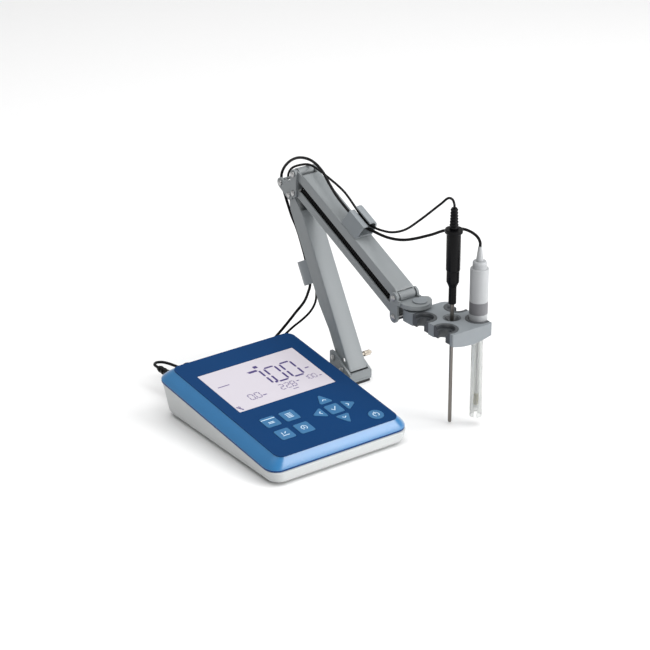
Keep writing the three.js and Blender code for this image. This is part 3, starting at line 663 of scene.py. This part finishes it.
def upper_cover():
    """The bevel, with its lip along the seam in the second material: a darker blue, painted shade under the
    cover's outer edge.
    """
    rings = [
        cover_ring(0.03, -COVER_HEIGHT + 0.3),
        cover_ring(0.03, -COVER_HEIGHT + 2.3),
        cover_ring(0, -COVER_HEIGHT + 2.5),
    ]
    steps = 12
    for step in range(1, steps + 1):
        share = step / steps
        rings.append(cover_ring(share, -11.9 + 11 * share))
    return loft(rings, marks=(0,))


piece("meter_case", lower_case(), "meter", CASE, ["lower_case"], bevel=0)
piece(
    "meter_cover", upper_cover(), "meter", [COVER, SEAM_SHADE], ["upper_cover"], DECK, bevel=0.25,
)

LCD_BOX = (-60.6, 57.8, -11.8, 64.7)
ENTER = (25.6, -52.3)
ARROW_REACH = 12.4
KEY_BOTTOM = -4.6
KEY_TOP = 0.35
PRINT = 0.05
KEY_GAP = 0.3
LABEL_UNDERSIDE = -0.88
PANE_BOTTOM = -0.86
PANE_TOP = -0.16
MARK_BOTTOM = -0.2
MARK_TOP = -0.13


def triangle(half, height, radius):
    """A rounded triangle on its base, its apex straight up the deck."""
    slope = math.degrees(math.atan2(height, half))
    inward = radius / math.tan(math.radians(slope / 2))
    return [
        *arc(half - inward, radius, radius, -90, 90 - slope, 5),
        *arc(0, height - radius / math.cos(math.radians(slope)), radius, 90 - slope, 90 + slope, 5),
        *arc(inward - half, radius, radius, 90 + slope, 270, 5),
    ]


def at(points, x, y, turn=0.0):
    """Points turned about their own origin, in degrees, then shifted."""
    c, s = math.cos(math.radians(turn)), math.sin(math.radians(turn))
    return [(x + c * px - s * py, y + s * px + c * py) for px, py in points]


def stroke(a, b, thickness=0.9):
    return capsule(a, b, thickness / 2)


CHECK_MARK = [stroke((-3, 0.2), (-1, -2.6)), stroke((-1, -2.6), (3, 3))]
CHEVRON = [stroke((-2, -1), (0, 1)), stroke((0, 1), (2, -1))]
BARS_ICON = [
    rounded(-8, 8, 4.2, 5.2, 0.2, 2),
    rounded(-3.4, 3.4, -3.4, -2.5, 0.2, 2),
    rounded(-3.4, 3.4, -1.4, -0.5, 0.2, 2),
]
LIST_ICON = [rounded(-3.4, 3.4, y, y + 0.9, 0.2, 2) for y in (-3.6, -1.4, 0.8, 3)]
STEP_ICON = [
    stroke((-3.6, -2.6), (3.6, -2.6)),
    stroke((-2.4, 2.8), (-2.4, -0.4)),
    stroke((2.4, 2.8), (0.4, 0.8)),
]
RING_POINTS = arc(0, 0, 3.2, -60, 240, 9)
RING = [stroke(a, b) for a, b in zip(RING_POINTS, RING_POINTS[1:])]
POWER_ICON = [*RING, stroke((0, 1), (0, 4.4))]
HOLD_ICON = [*RING, stroke((0, -1.2), (0, 1.2))]

FUNCTION_CAP = rounded(-8.5, 8.5, -8.5, 8.5, 2.2)

# Each key's name, place, turn, outline and icon, and how far the icon sits above the outline's origin
KEYS = [
    ("function_key_left_upper", -44, -40.5, 0, FUNCTION_CAP, BARS_ICON, 0),
    ("function_key_right_upper", -20.8, -40.5, 0, FUNCTION_CAP, LIST_ICON, 0),
    ("function_key_left_lower", -44, -65.4, 0, FUNCTION_CAP, STEP_ICON, 0),
    ("function_key_right_lower", -20.8, -65.4, 0, FUNCTION_CAP, HOLD_ICON, 0),
    ("arrow_key_up", ENTER[0], ENTER[1] + ARROW_REACH, 0, triangle(8.4, 16.5, 1.6), CHEVRON, 5.4),
    ("arrow_key_down", ENTER[0], ENTER[1] - ARROW_REACH, 180, triangle(8.4, 16.3, 1.6), CHEVRON, 5.4),
    ("arrow_key_left", ENTER[0] - ARROW_REACH, ENTER[1], 90, triangle(9.1, 14, 1.6), CHEVRON, 4.6),
    ("arrow_key_right", ENTER[0] + ARROW_REACH, ENTER[1], -90, triangle(9.1, 13.6, 1.6), CHEVRON, 4.6),
    ("enter_key", *ENTER, 0, rounded(-8, 8, -8, 8, 2), CHECK_MARK, 0),
    ("power_key", 56, -81.5, 0, circle(0, 0, 8, 48), POWER_ICON, 0),
]


def widened(outline, gap):
    """An outline stretched about its own middle so that it is a gap larger on every side."""
    lows = [min(point[axis] for point in outline) for axis in (0, 1)]
    highs = [max(point[axis] for point in outline) for axis in (0, 1)]
    middle = [(low + high) / 2 for low, high in zip(lows, highs)]
    growth = [1 + 2 * gap / (high - low) for low, high in zip(lows, highs)]
    return [tuple(m + (value - m) * g for value, m, g in zip(point, middle, growth)) for point in outline]


def press_key(name, x, y, turn, outline, icon, rise):
    """A key cap and the mark printed on it, which move together."""
    cap = prism(at(outline, x, y, turn), KEY_BOTTOM, KEY_TOP)
    prints = [
        prism(at(at(mark, 0, rise), x, y, turn), KEY_TOP - 0.1, KEY_TOP + PRINT)
        for mark in icon
    ]
    piece(name + "_cap", cap, name, KEY, [name], DECK, bevel=0.28)
    piece(name + "_print", merged(prints), name, ICON, (), DECK, bevel=0)


for key in KEYS:
    press_key(*key)


def label_panel():
    """The dark film, open over the display and round each key."""
    outer = rounded(-74.3, 74.3, -97.4, 91.8, 9, 10)
    window = rounded(*LCD_BOX, 0.6, 3)
    holes = [at(widened(outline, KEY_GAP), x, y, turn) for _, x, y, turn, outline, _, _ in KEYS]
    return prism(outer, LABEL_UNDERSIDE, 0, holes=[window, *holes])


piece(
    "label_film", label_panel(), "meter", LABEL, ["label_panel"], DECK, bevel=0.2, segments=2,
)

# The seven bars of a figure, as corners of a box 1 wide and 2 high: t top, a and b right, c bottom, d and e
# left, m middle
BAR_ENDS = {
    "t": ((0, 2), (1, 2)),
    "a": ((1, 2), (1, 1)),
    "b": ((1, 1), (1, 0)),
    "c": ((0, 0), (1, 0)),
    "d": ((0, 1), (0, 0)),
    "e": ((0, 2), (0, 1)),
    "m": ((0, 1), (1, 1)),
}
# The bars each figure lights
LIT = {"0": "tabcde", "1": "ab", "2": "tamdc", "7": "tab", "8": "tabcdem"}


def bar(a, b, thickness, trim):
    """One display bar: a long hexagon between two points."""
    start, end = Vector(a), Vector(b)
    along = (end - start).normalized()
    across = Vector((-along.y, along.x)) * thickness / 2
    start += along * trim
    end -= along * trim
    tip = along * thickness / 2
    return [tuple(p) for p in (
        start, start + tip + across, end - tip + across, end, end - tip - across, start + tip - across,
    )]


def figures(text, x, y, width, height, pitch, thickness):
    """Seven-bar figures from their lower left corner."""
    outlines = []
    for place, figure in enumerate(text):
        left = x + place * pitch
        for name in LIT[figure]:
            ends = [(left + u * width, y + v * height / 2) for u, v in BAR_ENDS[name]]
            outlines.append(bar(*ends, thickness, thickness * 0.35))
    return outlines


def square(x, y, half):
    return rounded(x - half, x + half, y - half, y + half, half / 4, 2)


def display_marks():
    """The reading 7.00 and the two dark signs."""
    return [
        *figures("700", -12.2, 17, 13.2, 27.6, 19.2, 2.4),
        square(5, 17.8, 1.5),
        rounded(-1, 3.8, 49, 53.2, 0.5, 2),
        bar((-58.6, -2), (-53.6, -9.4), 1.6, 0),
        bar((-56.2, -1.6), (-54.2, -4.6), 1.2, 0),
    ]


def display_small_marks():
    """A temperature of 22.8, a reading of 0.0, a share of 100, and plain bars for the small captions."""
    return [
        *figures("228", 1.8, 2.4, 4.8, 9.2, 6.9, 0.95),
        square(14.8, 2.6, 0.6),
        *figures("00", -36.6, 1.6, 5.4, 9.4, 8, 0.95),
        square(-30.4, 1.8, 0.6),
        *figures("100", 33.6, 5.6, 3.8, 7, 5.2, 0.75),
        rounded(-12, -0.5, 45.6, 46.8, 0.3, 2),
        rounded(-54, -40, 36, 37.2, 0.3, 2),
        rounded(45.6, 50.4, 24.4, 26.2, 0.4, 2),
        rounded(-21.6, -17, 3, 4.4, 0.4, 2),
        rounded(23.6, 26.6, 8.6, 9.8, 0.3, 2),
        rounded(12, 18.6, -2.2, -1.2, 0.3, 2),
        rounded(50.6, 53.4, 6.2, 7.4, 0.3, 2),
    ]


def display():
    """The pane with its lit bars just proud of it."""
    left, right, front, rear = LCD_BOX
    gap = 0.3
    plan = rounded(left + gap, right - gap, front + gap, rear - gap, 0.6, 3)
    pane = prism(plan, PANE_BOTTOM, PANE_TOP)
    dark = [prism(outline, MARK_BOTTOM, MARK_TOP) for outline in display_marks()]
    pale = [prism(outline, MARK_BOTTOM, MARK_TOP) for outline in display_small_marks()]
    piece("display_pane", pane, "meter", LCD, ["lcd_window"], DECK, bevel=0.1, segments=2)
    piece("display_figures", merged(dark), "meter", SEGMENT, (), DECK, bevel=0)
    piece("display_small_figures", merged(pale), "meter", SEGMENT_PALE, (), DECK, bevel=0)


display()


def turned_piece(name, profile, body, material, nodes, place, steps=48):
    return piece(name, lathe(profile, steps), body, material, nodes, place, bevel=0)


def spot(x, y, z=0):
    return Matrix.Translation((x, y, z))


FOOT_PLACES = [(-66, -82), (66, -82), (-66, 82), (66, 82)]
FOOT_PROFILE = [(0, -2), (4.9, -2), (5.6, -1.8), (5.9, -1.3), (6, 0.7), (0, 0.7)]

for number, place in enumerate(FOOT_PLACES, 1):
    node = f"foot_{number}"
    turned_piece("meter_" + node, FOOT_PROFILE, "meter", RUBBER, [node], spot(*place))

# Turns a profile's height to point to the rear
REARWARD = Matrix.Rotation(math.radians(-90), 4, "X")
REAR_WALL = 101.7
SOCKET_ROOT = 94


def rear_socket(name, x, flange, body, bore, reach):
    """A round socket with its flange on the rear wall and a contact pin in its bore."""
    end = REAR_WALL + 1.8 + reach
    profile = [
        (0, SOCKET_ROOT),
        (body, SOCKET_ROOT),
        (body, REAR_WALL - 0.1),
        (flange, REAR_WALL - 0.1),
        (flange, REAR_WALL + 1.4),
        (flange - 0.4, REAR_WALL + 1.8),
        (body, REAR_WALL + 1.8),
        (body, end - 0.3),
        (body - 0.3, end),
        (bore + 0.2, end),
        (bore, end - 0.2),
        (bore, end - 9),
        (0.9, end - 9),
        (0.9, end - 5.4),
        (0, end - 5),
    ]
    place = spot(x, 0, SOCKET_HEIGHT) @ REARWARD
    turned_piece(name + "_shell", profile, "meter", BLACK, [name], place)


rear_socket("ph_socket", -46, 8.2, 6, 4.4, 8)
rear_socket("temperature_socket", -24, 6.4, 4.6, 3.2, 7)
rear_socket("power_socket", 34, 7, 5.6, 3.4, 3)

# ---------- folded sheet of the arm ----------

SHEET = 1.6
CHANNEL_HALF = 11.25
LINK_HALF = 9.25
CHEEK_INNER = CHANNEL_HALF + 0.4
CHEEK_OUTER = CHEEK_INNER + 2.5
PIN_RADIUS = 2
PIN_HOLE = 2.3


def rod_x(radius, x0, x1, y, z, steps=24):
    return prism(circle(y, z, radius, steps), x0, x1, SIDE)


def pin_holes(*pivots):
    return [rod_x(PIN_HOLE, -30, 30, y, z) for y, z in pivots]


def cheeks(*outlines):
    """Both side plates, each one flat outline per pair."""
    plates = []
    for outline in outlines:
        plates.append(prism(outline, CHEEK_INNER, CHEEK_OUTER, SIDE))
        plates.append(prism(outline, -CHEEK_OUTER, -CHEEK_INNER, SIDE))
    return plates


def folded_section(half, outer, inner):
    """The U section of a sheet bent up at both sides, its web between an outer and an inner place."""
    out = 1 if outer > inner else -1
    radius = 1.4
    # The flanges run well past the side outline, which trims them
    far = inner - out * 60
    turns = [0, math.pi / 6, math.pi / 3, math.pi / 2]
    left_bend = [
        (-half + radius - radius * math.cos(turn), outer - out * radius * (1 - math.sin(turn)))
        for turn in turns
    ]
    right_bend = [
        (half - radius + radius * math.sin(turn), outer - out * radius * (1 - math.cos(turn)))
        for turn in turns
    ]
    return [
        (-half, far),
        *left_bend,
        *right_bend,
        (half, far),
        (half - SHEET, far),
        (half - SHEET, inner),
        (-half + SHEET, inner),
        (-half + SHEET, far),
    ]


def along_z(section, low, high):
    """A section in (x, y) extruded along z."""
    return prism(section, low, high)


def along_y(section, low, high):
    """A section in (x, z) extruded along y."""
    return prism(section, low, high, SECTION)


def channel(side, half, web, low, high, holes, run):
    """A folded sheet extruded by run, trimmed to its side outline and drilled across."""
    extrusion = run(folded_section(half, *web), low, high)
    trimmed = combined(extrusion, [prism(side, -half - 1, half + 1, SIDE)], "INTERSECT")
    return combined(trimmed, pin_holes(*holes))


SCREW_SEAT = (-4.7, 9.1)

LOWER_SIDE = [
    *arc(0, 0, 4, -90, 0, 5),
    (3.4, 27),
    (9.9, 72),
    (9.9, LOWER_LENGTH - 14),
    *arc(0, LOWER_LENGTH, 4, 17, 149, 12),
    (-9.5, LOWER_LENGTH - 28),
    (-9.5, -5),
]
LOWER_LINK_SIDE = [
    *arc(0, 0, 4.2, -180, -12, 12),
    (0.95, 8),
    (0.95, LOWER_LENGTH - 8),
    *arc(0, LOWER_LENGTH, 4.2, 12, 180, 12),
    (-6, LOWER_LENGTH - 14),
    (-6, 14),
]
UPPER_SIDE = [
    *arc(0, 0, 4.5, -90, 90, 12),
    (-10.8, 5.5),
    (-11, 7.3),
    (6 - UPPER_LENGTH, 7.3),
    *arc(-UPPER_LENGTH, 0, 4.5, 90, 270, 12),
    (8 - UPPER_LENGTH, -3.8),
    (-11, -3.8),
]
UPPER_LINK_SIDE = [
    *arc(0, 0, 4, -90, 90, 12),
    (-9, 6.5),
    (9 - UPPER_LENGTH, 6.5),
    *arc(-UPPER_LENGTH, 0, 4, 90, 270, 12),
    (8 - UPPER_LENGTH, -3),
    (-8, -3),
]
BOTH_ENDS = {
    "lower": [(0, 0), (0, LOWER_LENGTH)],
    "upper": [(0, 0), (-UPPER_LENGTH, 0)],
}

lower_channel = channel(
    LOWER_SIDE, CHANNEL_HALF, (-9.5, -7.9), -20, 210, [*BOTH_ENDS["lower"], SCREW_SEAT], along_z,
)
lower_link = channel(LOWER_LINK_SIDE, LINK_HALF, (0.95, -0.65), -20, 210, BOTH_ENDS["lower"], along_z)
upper_channel = channel(UPPER_SIDE, CHANNEL_HALF, (7.3, 5.7), -210, 20, BOTH_ENDS["upper"], along_y)
upper_link = channel(UPPER_LINK_SIDE, CHANNEL_HALF, (-3, -1.4), -210, 20, BOTH_ENDS["upper"], along_y)


def sheet_piece(name, mesh, body, node, place):
    return piece(name, mesh, body, ARM_PAINT, [node], place, bevel=0.22)


sheet_piece("lower_channel", lower_channel, "lower_arm", "lower_arm_channel", LOWER_CHANNEL)
sheet_piece("lower_link_sheet", lower_link, "lower_link", "lower_arm_link", LOWER_LINK)
sheet_piece("upper_channel", upper_channel, "upper_arm", "upper_arm_channel", UPPER_CHANNEL)
sheet_piece("upper_link_sheet", upper_link, "upper_link", "upper_arm_link", UPPER_LINK)


def block(x0, x1, y0, y1, z0, z1):
    return prism([(x0, y0), (x1, y0), (x1, y1), (x0, y1)], z0, z1)


def base_bracket():
    side = [(36, 3.3), (71.5, 3.3), *arc(69.5, 26, 2, 0, 90, 4), (65, 28), (36, 10.5)]
    web = block(-CHEEK_INNER - 0.1, CHEEK_INNER + 0.1, 36, 71.5, 3.3, 5.3)
    lip = block(-CHEEK_INNER - 0.1, CHEEK_INNER + 0.1, 36, 38, 3.4, 12)
    plates = cheeks(side)
    return combined(combined(plates[0], [plates[1], web, lip], "UNION"), pin_holes(BASE_FRONT, BASE_REAR))


def elbow_bracket():
    y, z = ELBOW_FRONT
    ear = [(y - 5, z + 2), (y + 9, z + 6), (y + 6.5, z + 15), (y - 6, z + 15)]
    plates = cheeks(capsule(ELBOW_FRONT, ELBOW_REAR, 5.5), capsule(UPPER_BOTTOM, UPPER_TOP, 5), ear)
    tie = block(-CHEEK_INNER - 0.5, CHEEK_INNER + 0.5, y + 0.5, y + 5.5, z + 9.5, z + 13.5)
    whole = combined(plates[0], [*plates[1:], tie], "UNION")
    return combined(whole, pin_holes(ELBOW_FRONT, ELBOW_REAR, UPPER_TOP, UPPER_BOTTOM))


TONGUE = 4.4


def knuckle_bracket():
    y, z = KNUCKLE_TOP
    top = z - 3.3
    root = [(y - 9, z - 6), (y, z - 6), (y, z - 1), (y - 9, z - 1)]
    plates = cheeks(capsule(KNUCKLE_BOTTOM, KNUCKLE_TOP, 6), root)
    tongue = prism(
        [
            (-CHEEK_INNER, y - 3.4),
            *arc(5.3, y - 11, 16.8, 180, 360, 28),
            (CHEEK_OUTER, y - 3.4),
        ],
        top - TONGUE,
        top,
    )
    core = block(-CHEEK_INNER - 0.1, CHEEK_INNER + 0.1, y - 6.6, y - 0.6, z - 9, z - 5)
    whole = combined(plates[0], [*plates[1:], tongue, core], "UNION")
    stud_hole = prism(circle(HUB[0] - ARM_X, HUB[1], 3.5, 32), top - 6, top + 6)
    return combined(whole, [*pin_holes(KNUCKLE_TOP, KNUCKLE_BOTTOM), stud_hole])


sheet_piece("base_cheeks", base_bracket(), "meter", "base_bracket", ARM_PLANE)
sheet_piece("elbow_plates", elbow_bracket(), "elbow", "elbow_bracket", ARM_PLANE)
sheet_piece("knuckle_plates", knuckle_bracket(), "knuckle", "knuckle_bracket", ARM_PLANE)


def across(pivot):
    """Turns a profile's height to run along x through a pivot of the arm."""
    return Matrix.Translation((ARM_X, *pivot)) @ Matrix.Rotation(math.radians(90), 4, "Y")


def sleeve(name, pivot, body):
    """A spacer tube on a cross pin, between the channel's side walls."""
    profile = [(2.2, -9.2), (5.4, -9.2), (5.4, 9.2), (2.2, 9.2), (2.2, -9.2)]
    turned_piece(name, profile, body, ARM_PAINT, (), across(pivot))


sleeve("knuckle_sleeve", KNUCKLE_TOP, "knuckle")
sleeve("elbow_sleeve", UPPER_TOP, "elbow")
sheet_piece("foot_strip", block(30, 140.1, 36, 71, 1, 3), "meter", "foot_plate", None)
piece(
    "arm_foot_pad",
    prism(rounded(ARM_X - CHEEK_OUTER, ARM_X + CHEEK_OUTER, 36, 71, 4), -2, 0.7),
    "meter", RUBBER, ["foot_pad"], bevel=0.3,
)

# A turned pin along x: domed heads outside the cheeks
PIN_HALF = CHEEK_OUTER + 0.3


def cross_pin(name, pivot, body, node):
    head = [
        (0, PIN_HALF + 1.4),
        (2.2, PIN_HALF + 1.3),
        (2.8, PIN_HALF + 0.9),
        (3, PIN_HALF + 0.3),
        (3, PIN_HALF),
        (PIN_RADIUS, PIN_HALF),
    ]
    profile = [*[(radius, -place) for radius, place in head], *reversed(head)]
    turned_piece(name, profile, body, STEEL, [node], across(pivot), 28)


cross_pin("base_axle_front", BASE_FRONT, "meter", "base_pin_front")
cross_pin("base_axle_rear", BASE_REAR, "meter", "base_pin_rear")
cross_pin("elbow_axle_lower_front", ELBOW_FRONT, "elbow", "elbow_pin_lower_front")
cross_pin("elbow_axle_lower_rear", ELBOW_REAR, "elbow", "elbow_pin_lower_rear")
cross_pin("elbow_axle_upper_top", UPPER_TOP, "elbow", "elbow_pin_upper_top")
cross_pin("elbow_axle_upper_bottom", UPPER_BOTTOM, "elbow", "elbow_pin_upper_bottom")
cross_pin("knuckle_axle_upper", KNUCKLE_TOP, "knuckle", "knuckle_pin_upper")
cross_pin("knuckle_axle_lower", KNUCKLE_BOTTOM, "knuckle", "knuckle_pin_lower")


def tension_screw():
    y, z = SCREW_SEAT
    ridges = 24
    knob = [
        (y + radius * math.cos(angle), z + radius * math.sin(angle))
        for angle, radius in (
            (step * math.pi / ridges, 2.9 if step % 2 else 2.6) for step in range(2 * ridges)
        )
    ]
    shaft = rod_x(PIN_RADIUS, 7.9, 23, y, z)
    tip = rod_x(1.4, 22, 24.6, y, z)
    return combined(prism(knob, CHEEK_OUTER + 0.6, 22.6, SIDE), [shaft, tip], "UNION")


piece(
    "tension_knob", tension_screw(), "tension_screw", SCREW_STEEL, ["tension_screw"],
    LOWER_CHANNEL, bevel=0.15,
)


def spring_line():
    """A closely wound extension spring along the inside of the upper channel."""
    coils = 58
    steps = coils * 18
    return [
        Vector((
            -3 + 5.2 * math.sin(2 * math.pi * coils * step / steps),
            -12 + (26 - UPPER_LENGTH) * step / steps,
            -12 + 5.2 * math.cos(2 * math.pi * coils * step / steps),
        ))
        for step in range(steps + 1)
    ]


# The spring's nearly black colour is painted shade for the dark slot it fills
piece(
    "arm_spring", loft(rings_along(spring_line(), 1.15, 8)), "upper_arm", SPRING_SHADE, ["balance_spring"],
    UPPER_CHANNEL, bevel=0,
)

# ---------- cable clips ----------


def bend(a, control, b, steps=6):
    """Points of a quadratic curve after its start."""
    return [
        tuple((1 - t) ** 2 * p + 2 * (1 - t) * t * q + t * t * r for p, q, r in zip(a, control, b))
        for t in (step / steps for step in range(1, steps + 1))
    ]


def clip_section(foot):
    outside = [
        (-11, foot),
        (11, foot),
        *bend((11, foot), (15, foot + 9), (12, foot + 15.5)),
        *bend((12, foot + 15.5), (10, foot + 19), (5.5, foot + 19)),
        (2.5, foot + 18.2),
    ]
    inside = [
        (2.5, foot + 16.6),
        (6, foot + 17),
        *bend((6, foot + 17), (9, foot + 17), (10.4, foot + 14.6)),
        *bend((10.4, foot + 14.6), (12.6, foot + 9), (9.6, foot + 1.8)),
        (-8, foot + 1.8),
        (-3.4, foot + 13),
        (1.4, foot + 13),
        (1.4, foot + 14.8),
        (-4.8, foot + 14.8),
    ]
    return [*outside, *inside]


CLIP_LENGTH = 26
upper_clip = along_y(clip_section(7.6), -84 - CLIP_LENGTH, -84)
mirrored = [(-x, y) for x, y in clip_section(1.35)]
lower_clip = along_z(mirrored, 80.6, 80.6 + CLIP_LENGTH)
piece("upper_clip", upper_clip, "upper_arm", HOLDER, ["upper_cable_clip"], UPPER_CHANNEL)
piece("lower_clip", lower_clip, "lower_link", HOLDER, ["lower_cable_clip"], LOWER_LINK)

# ---------- electrode holder ----------

HOLDER_TOP = 115.2
HOLDER_X = 142
HOLDER_SIDE = 25.5
PLACES = [(x, y) for x in (121, 163) for y in (-107.3, -73.5)]
PLACE_RADIUS = 13.3


def electrode_holder():
    left, right = HOLDER_X - HOLDER_SIDE, HOLDER_X + HOLDER_SIDE
    plan = [
        (left, -123),
        (left + 1, -124),
        (right - 1, -124),
        (right, -123),
        *arc(right - 11, -65, 11, 0, 90, 12),
        (HUB[0] + 8.5, -54),
        *arc(*HUB, 8.8, -16, 90, 12),
        *arc(left + 4, HUB[1] + 4.8, 4, 90, 180, 6),
    ]
    low = HOLDER_TOP - 12.4
    front = [
        (right + 1, HOLDER_TOP),
        (left - 1, HOLDER_TOP),
        (left - 1, low),
        *bend((left - 1, low), (HOLDER_X, HOLDER_TOP - 21), (right + 1, low), 16),
    ]
    body = combined(prism(plan, 80, 140), [along_y(front, -140, 0)], "INTERSECT")
    cuts = [prism(circle(*place, PLACE_RADIUS, 64), 80, 140) for place in PLACES]
    funnel = lathe([(0, 90), (2.3, 90), (2.3, HOLDER_TOP - 6), (8.4, HOLDER_TOP), (8.4, 120), (0, 120)], 40)
    swivel = prism(circle(*HUB, 3.5, 32), 101.5, 140)
    return combined(body, [*cuts, moved(funnel, spot(*BORE)), swivel])


BORE_LINER = [
    (2.3, 109.3),
    (8.3, HOLDER_TOP - 0.1),
    (8.7, HOLDER_TOP + 0.2),
    (9.2, HOLDER_TOP + 0.1),
    (2.3, 109),
    (2.3, 109.3),
]
turned_piece("bore_liner", BORE_LINER, "holder", COLLAR, (), spot(*BORE))
piece(
    "holder_body", electrode_holder(), "holder", HOLDER, ["electrode_holder"],
    bevel=0.6, segments=4,
)


def collar(x, y):
    ring = lathe([
        (6.9, 103.6),
        (7.1, 103.4),
        (PLACE_RADIUS - 0.3, 103.4),
        (PLACE_RADIUS - 0.3, HOLDER_TOP + 0.1),
        (PLACE_RADIUS - 0.6, HOLDER_TOP + 0.4),
        (10.1, HOLDER_TOP + 0.4),
        (9.8, HOLDER_TOP + 0.1),
        (9.8, 111.6),
        (6.9, 111.6),
        (6.9, 103.6),
    ], 64)
    outward = 1 if x > HOLDER_X else -1
    side = outward * (HOLDER_SIDE - 0.3) + HOLDER_X
    outside = block(*sorted((side, side + 40 * outward)), y - 20, y + 20, 90, 130)
    return combined(moved(ring, spot(x, y)), [outside])


for (x, y), name in zip(PLACES, ("left_front", "left_rear", "right_front", "right_rear")):
    node = f"holder_collar_{name}"
    piece(f"collar_{name}", collar(x, y), "holder", COLLAR, [node], bevel=0)

TONGUE_TOP = KNUCKLE_TOP[1] - 3.3
turned_piece(
    "swivel_button",
    [
        (0, 102),
        (3.2, 102),
        (3.2, HOLDER_TOP + 0.3),
        (6, HOLDER_TOP + 0.3),
        (6, TONGUE_TOP - TONGUE - 0.3),
        (3.2, TONGUE_TOP - TONGUE - 0.3),
        (3.2, TONGUE_TOP + 0.3),
        (7.4, TONGUE_TOP + 0.3),
        (7.6, TONGUE_TOP + 0.5),
        (7.6, TONGUE_TOP + 0.9),
        (7.2, TONGUE_TOP + 1.3),
        (0, TONGUE_TOP + 1.4),
    ],
    "knuckle", HOLDER, ["swivel_stud"], spot(*HUB),
)

# ---------- probes ----------

PH_AXIS = (163, -107.3)


def temperature_probe():
    handle = [
        (0, 130.9),
        (3.6, 130.9),
        (4, 131.4),
        (4, 148.9),
        (4.6, 150.5),
        (6, 153.6),
        (6.5, 154.6),
        (6.5, 166.4),
        (7, 167),
        (7.25, 167.6),
        (7.25, 206.2),
        (8.6, 206.7),
        (9, 207.2),
        (9, 210.3),
        (8.6, 210.9),
        *ribs(210.9, 232.9, 4.6, 3.6, 7),
        (0, 233),
    ]
    place = spot(*BORE)
    turned_piece("probe_handle", handle, "temperature_probe", BLACK, ["temperature_handle"], place)
    rod = [(0, -0.9), (1, -0.75), (1.6, -0.2), (1.9, 0.8), (1.9, 131.2), (0, 131.2)]
    turned_piece("probe_rod", rod, "temperature_probe", ROD_STEEL, ["temperature_rod"], place, 24)


def ph_electrode():
    place = spot(*PH_AXIS)
    relief = [(0, 177.8), (3.6, 177.8), (3.5, 180), (2.1, 191.6), (1.8, 192.7), (0, 192.8)]
    turned_piece("electrode_relief", relief, "ph_electrode", HEAD, ["ph_strain_relief"], place, 32)
    head = [
        (0, 111.9),
        (8.9, 111.9),
        (9.3, 112.4),
        (9.4, 113),
        (9.4, 168.8),
        (9.1, 169.7),
        (7.4, 170),
        (7.1, 170.4),
        (7.1, 173.2),
        (6.8, 173.4),
        (6.8, 173.9),
        (7.1, 174.1),
        (7.1, 176.2),
        (6.3, 177.4),
        (0, 177.6),
    ]
    turned_piece("electrode_head", head, "ph_electrode", HEAD, ["ph_head"], place, 64)
    band = [(9.3, 121.7), (9.45, 121.9), (9.45, 134.6), (9.3, 134.8), (9.3, 121.7)]
    turned_piece("electrode_band", band, "ph_electrode", BAND, (), place, 64)
    shell = [(5.5, 8), (6.4, 8), (6.4, 111.6), (5.5, 111.6), (5.5, 8)]
    slots = [
        moved(block(-1.5, 1.5, 0, 9, 5, 15), Matrix.Rotation(math.radians(45 + 90 * turn), 4, "Z"))
        for turn in range(4)
    ]
    tube = combined(lathe(shell, 64), slots)
    piece("electrode_tube", tube, "ph_electrode", GLASS, ["ph_glass"], place, bevel=0.15)
    stem = [
        (3.2, 111.4),
        (3.2, 102),
        (2.6, 99.5),
        (2.6, 22),
        (3.2, 19),
        (3.2, 16),
        (2.2, 13.4),
        (0, 12.6),
    ]
    turned_piece("electrode_stem", stem, "ph_electrode", GLASS, (), place, 32)
    wire = [(0, 30), (0.45, 30), (0.45, 111.2), (0, 111.2)]
    turned_piece("electrode_wire", wire, "ph_electrode", WIRE, (), place, 12)
    element = [(0, 20), (1.6, 20.2), *ribs(20.6, 32, 2.1, 1.9, 6, 0.4), (0, 32.6)]
    turned_piece("electrode_element", element, "ph_electrode", ELEMENT, (), place, 20)


temperature_probe()
ph_electrode()

# ---------- floor and light ----------


def studio():
    floor_mesh = bpy.data.meshes.new("floor")
    half = 12
    # Just under the rubber feet, which stand 2 mm below the meter
    level = -2.05 * MM
    corners = [(-half, -half, level), (half, -half, level), (half, half, level), (-half, half, level)]
    floor_mesh.from_pydata(corners, [], [(0, 1, 2, 3)])
    floor = bpy.data.objects.new("floor", floor_mesh)
    floor_mesh.materials.append(surface("pale_floor", (0.88, 0.88, 0.88), 0.7, mottle=0.005, bump=0))
    bpy.context.scene.collection.objects.link(floor)
    world = bpy.data.worlds.new("studio")
    bpy.context.scene.world = world
    world.use_nodes = True
    world.node_tree.nodes["Background"].inputs["Color"].default_value = (1, 1, 1, 1)
    world.node_tree.nodes["Background"].inputs["Strength"].default_value = 0.45
    for name, place, size, power in (
        ("overhead", (0, 0.1, 2.5), 3.2, 54),
        ("front_glare", (1.1, -0.85, 1.5), 1.3, 14),
        ("front_low", (1.2, -1.9, 0.5), 1.4, 34),
    ):
        data = bpy.data.lights.new(name, "AREA")
        data.shape = "DISK"
        data.size = size
        data.energy = power
        lamp = bpy.data.objects.new(name, data)
        lamp.location = place
        lamp.rotation_mode = "QUATERNION"
        lamp.rotation_quaternion = (Vector(place) - Vector((0, 0.05, 0.08))).to_track_quat("Z", "Y")
        bpy.context.scene.collection.objects.link(lamp)


studio()
bpy.context.scene.view_settings.view_transform = "Standard"
